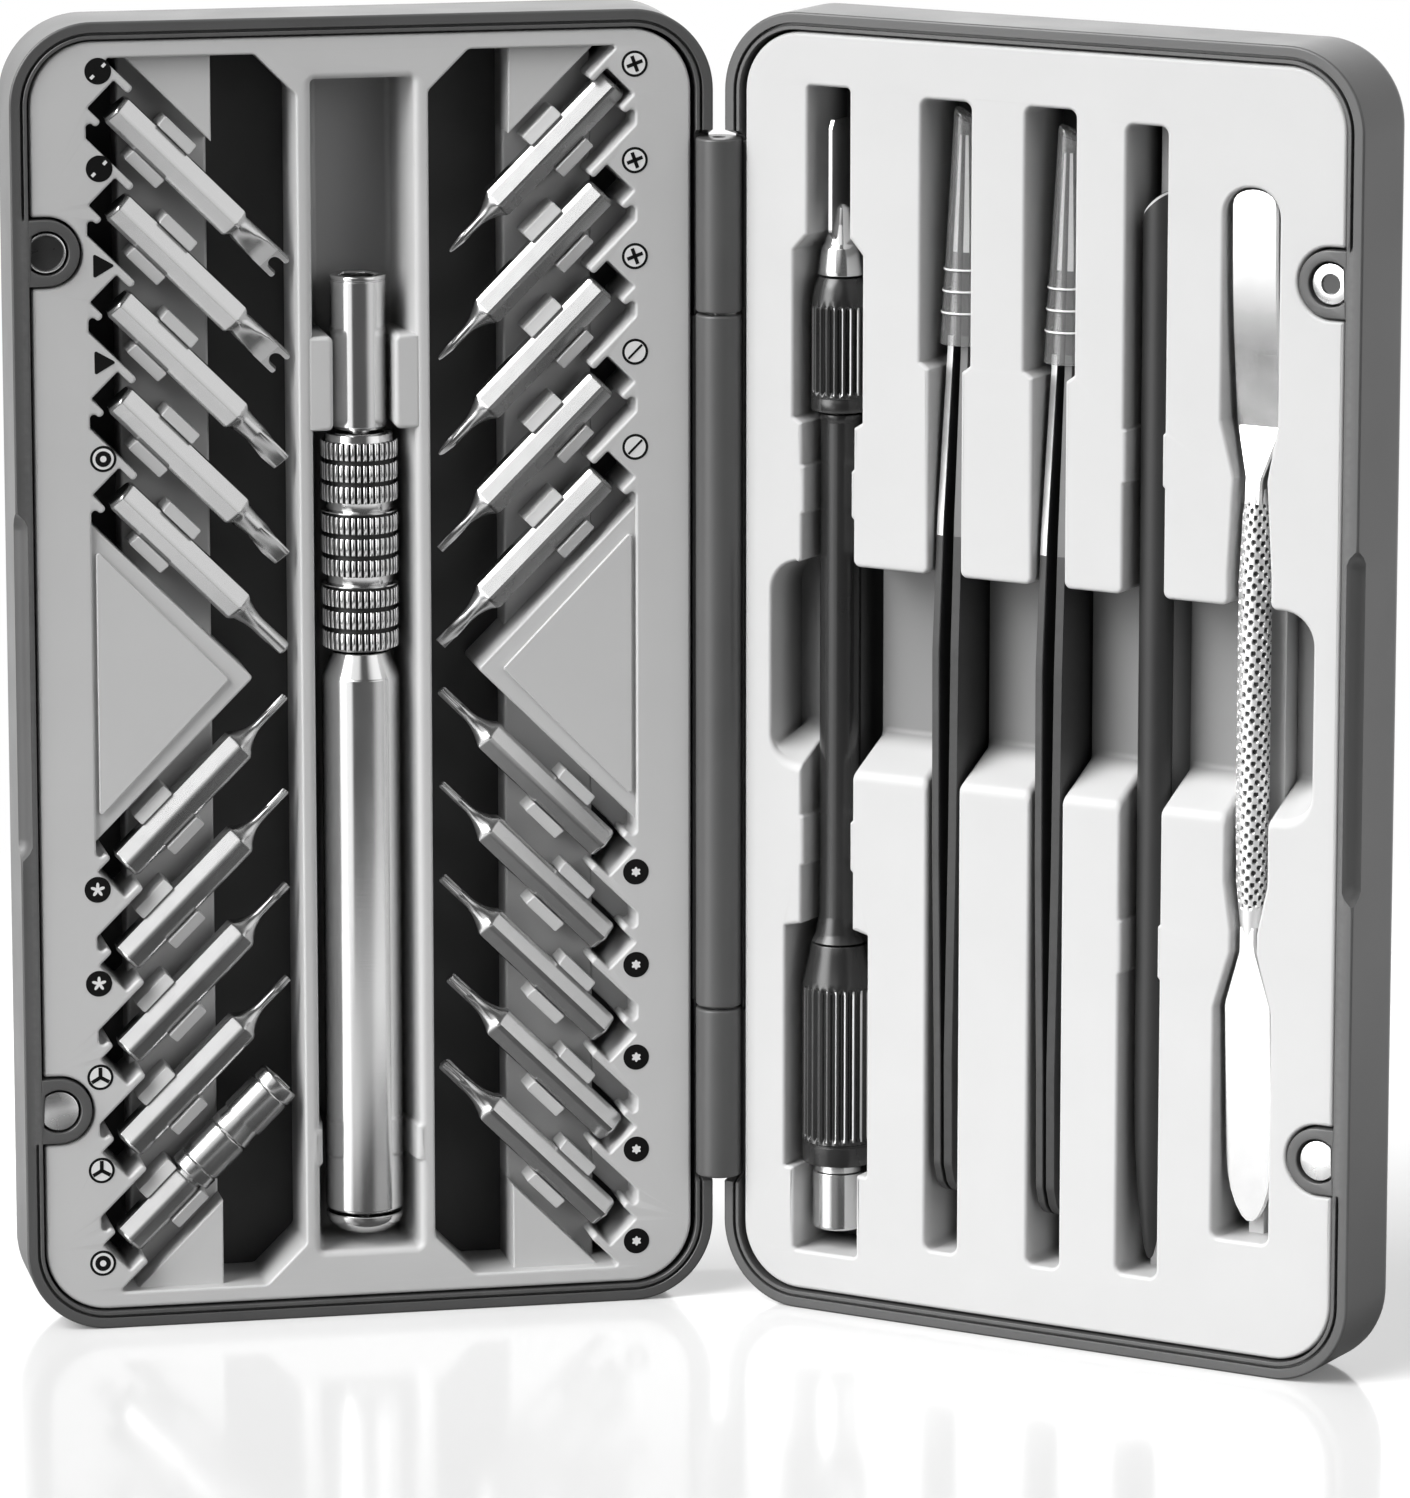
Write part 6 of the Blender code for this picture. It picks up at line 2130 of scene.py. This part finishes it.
@dataclass
class Studio:
    """Camera, soft lights on both sides, a white backdrop and a pale floor."""

    hinge: tuple[float, float]
    lens: float = 211.1
    camera_place: tuple[float, float, float] = (0.00888, -1.04966, 0.28663)
    camera_tilt: float = 11.708
    camera_turn: float = 0.576
    lights: tuple[Softbox, ...] = (Softbox(-58, 15, 5.7, 28.0, 6.0), Softbox(-60, 45, 9.8, 28.0, 6.0),
                                   Softbox(180, 15, 0.9))
    fill: Softbox = Softbox(60, 15, 2.4)
    panels: tuple[Softbox, ...] = (Softbox(-20, 30, 1.0, 24.0, 10.0), Softbox(-57, -2, 1.2, 20.0, 9.0),
                                   Softbox(-36, -7, 1.2, 17.0, 10.0))
    front_level: float = 0.11
    fill_sheen: float = 0.5
    floor_glow: float = 0.09
    floor_fade: tuple[float, float] = (0.13, 0.3)
    floor_shade: tuple[float, float] = (0.06, 0.125)

    def build(self) -> None:
        """Set up everything that isn't part of the object."""
        scene = bpy.context.scene
        scene.view_settings.view_transform = "Standard"
        self.camera(scene)
        self.floor()
        self.world(scene)

    def camera(self, scene: bpy.types.Scene) -> None:
        """Camera at the photograph's angle: a little above the case, level with its hinge.

        Args:
            scene: the scene that gets it.
        """
        data = bpy.data.cameras.new("camera")
        data.lens = self.lens
        camera = bpy.data.objects.new("camera", data)
        camera.location = Vector((*self.hinge, 0.0)) + Vector(self.camera_place)
        camera.rotation_euler = (math.radians(90 - self.camera_tilt), 0, math.radians(self.camera_turn))
        data.clip_end = 50
        scene.collection.objects.link(camera)
        scene.camera = camera

    def floor(self) -> None:
        """Pale floor with a soft sheen, which fades into the white world away from the object."""
        ring = rings_of([circle(0, 0, self.floor_fade[1], 96)], [0.0])[0]
        mesh = bpy.data.meshes.new("studio_floor")
        mesh.from_pydata(ring.tolist(), [], [list(range(len(ring)))])
        floor = bpy.data.objects.new("studio_floor", mesh)
        bpy.context.scene.collection.objects.link(floor)
        material = bpy.data.materials.new("studio_floor")
        material.use_nodes = True
        tree = material.node_tree
        path = tree.nodes.new("ShaderNodeLightPath").outputs
        place = wired(tree, "TexCoord", {}, "Object")
        length = wired(tree, "VectorMath", {0: place}, "Value", operation="LENGTH")
        seen = calc(tree, "MAXIMUM", path["Is Camera Ray"], path["Is Transmission Ray"])
        # Painted shade: to reflected rays the floor is darker close to the object.
        far = blend(tree, band(tree, length, self.floor_shade, (0.0, 1.0)), grey(0.08), grey(0.8))
        colour = blend(tree, path["Is Diffuse Ray"], far, grey(0.3))
        feed(tree, tree.nodes["Principled BSDF"], {
            "Roughness": 0.12, "Base Color": blend(tree, seen, colour, grey(0.8)), "Emission Color": grey(1.0),
            "Alpha": band(tree, length, self.floor_fade, (1.0, 0.0)),
            "Emission Strength": calc(tree, "MULTIPLY", path["Is Camera Ray"], self.floor_glow)})
        mesh.materials.append(material)

    def world(self, scene: bpy.types.Scene) -> None:
        """White for the camera and through clear plastic; soft lights for all else.

        Reflections also show the white backdrop behind the object, a dim room in front of it and
        three more panels on the left.

        Args:
            scene: the scene that gets it.
        """
        world = bpy.data.worlds.new("studio_white")
        world.use_nodes = True
        tree = world.node_tree
        place = wired(tree, "TexCoord", {}, "Generated")
        across = wired(tree, "SeparateXYZ", {0: place}, "Y")
        path = tree.nodes.new("ShaderNodeLightPath").outputs
        dimming = calc(tree, "MULTIPLY", path["Is Glossy Ray"], self.fill_sheen)
        lit = self.fill.glow(tree, place)
        lit = calc(tree, "SUBTRACT", lit, calc(tree, "MULTIPLY", lit, dimming))
        for light in self.lights:
            lit = calc(tree, "ADD", lit, light.glow(tree, place))
        room = band(tree, across, (-0.45, 0.25), (self.front_level, 1.0))
        for panel in self.panels:
            room = calc(tree, "ADD", room, panel.glow(tree, place))
        room = calc(tree, "MULTIPLY", room, path["Is Glossy Ray"])
        seen = calc(tree, "MAXIMUM", path["Is Camera Ray"], path["Is Transmission Ray"])
        strength = wired(tree, "Mix", {0: seen, 2: calc(tree, "ADD", lit, room), 3: 1.0})
        feed(tree, tree.nodes["Background"], {"Color": grey(1.0), "Strength": strength})
        scene.world = world


def main() -> None:
    """Load the frame and build every piece in order."""
    logging.basicConfig(level=logging.INFO, format="%(message)s")
    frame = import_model()
    joints = frame["joints"]
    left = HalfFrame.from_joints(joints, Side.LEFT, "driver_lift", "left_case")
    right = HalfFrame.from_joints(joints, Side.RIGHT, "knife_lift", "right_case")
    Studio(left.hinge).build()
    inner, outer = KNUCKLE_HALF - FIT / 2, KNUCKLE_HALF + FIT / 2
    middle = [(MID - inner, MID + inner)]
    ends = [(MID - BARREL_HALF, MID - outer), (MID + outer, MID + BARREL_HALF)]
    CaseShell(left, "left_shell", middle).build()
    CaseShell(right, "right_shell", ends).build()
    Magnets(left, "left", 2.05).build()
    Magnets(right, "right", 1.15).build()
    HingePin(left).build()
    tray = BitTray(left)
    tray.build()
    TrayMarks(tray).build()
    ToolTray(right).build()
    BitSet(tray).build()
    Driver(left).build()
    Knife(right).build()
    Tweezers(right, 1, 30.7, 0.0).build()
    Tweezers(right, 2, 44.7, -1.2).build()
    Spudger(right).build()
    PryTool(right).build()


if __name__ == "__main__":
    main()
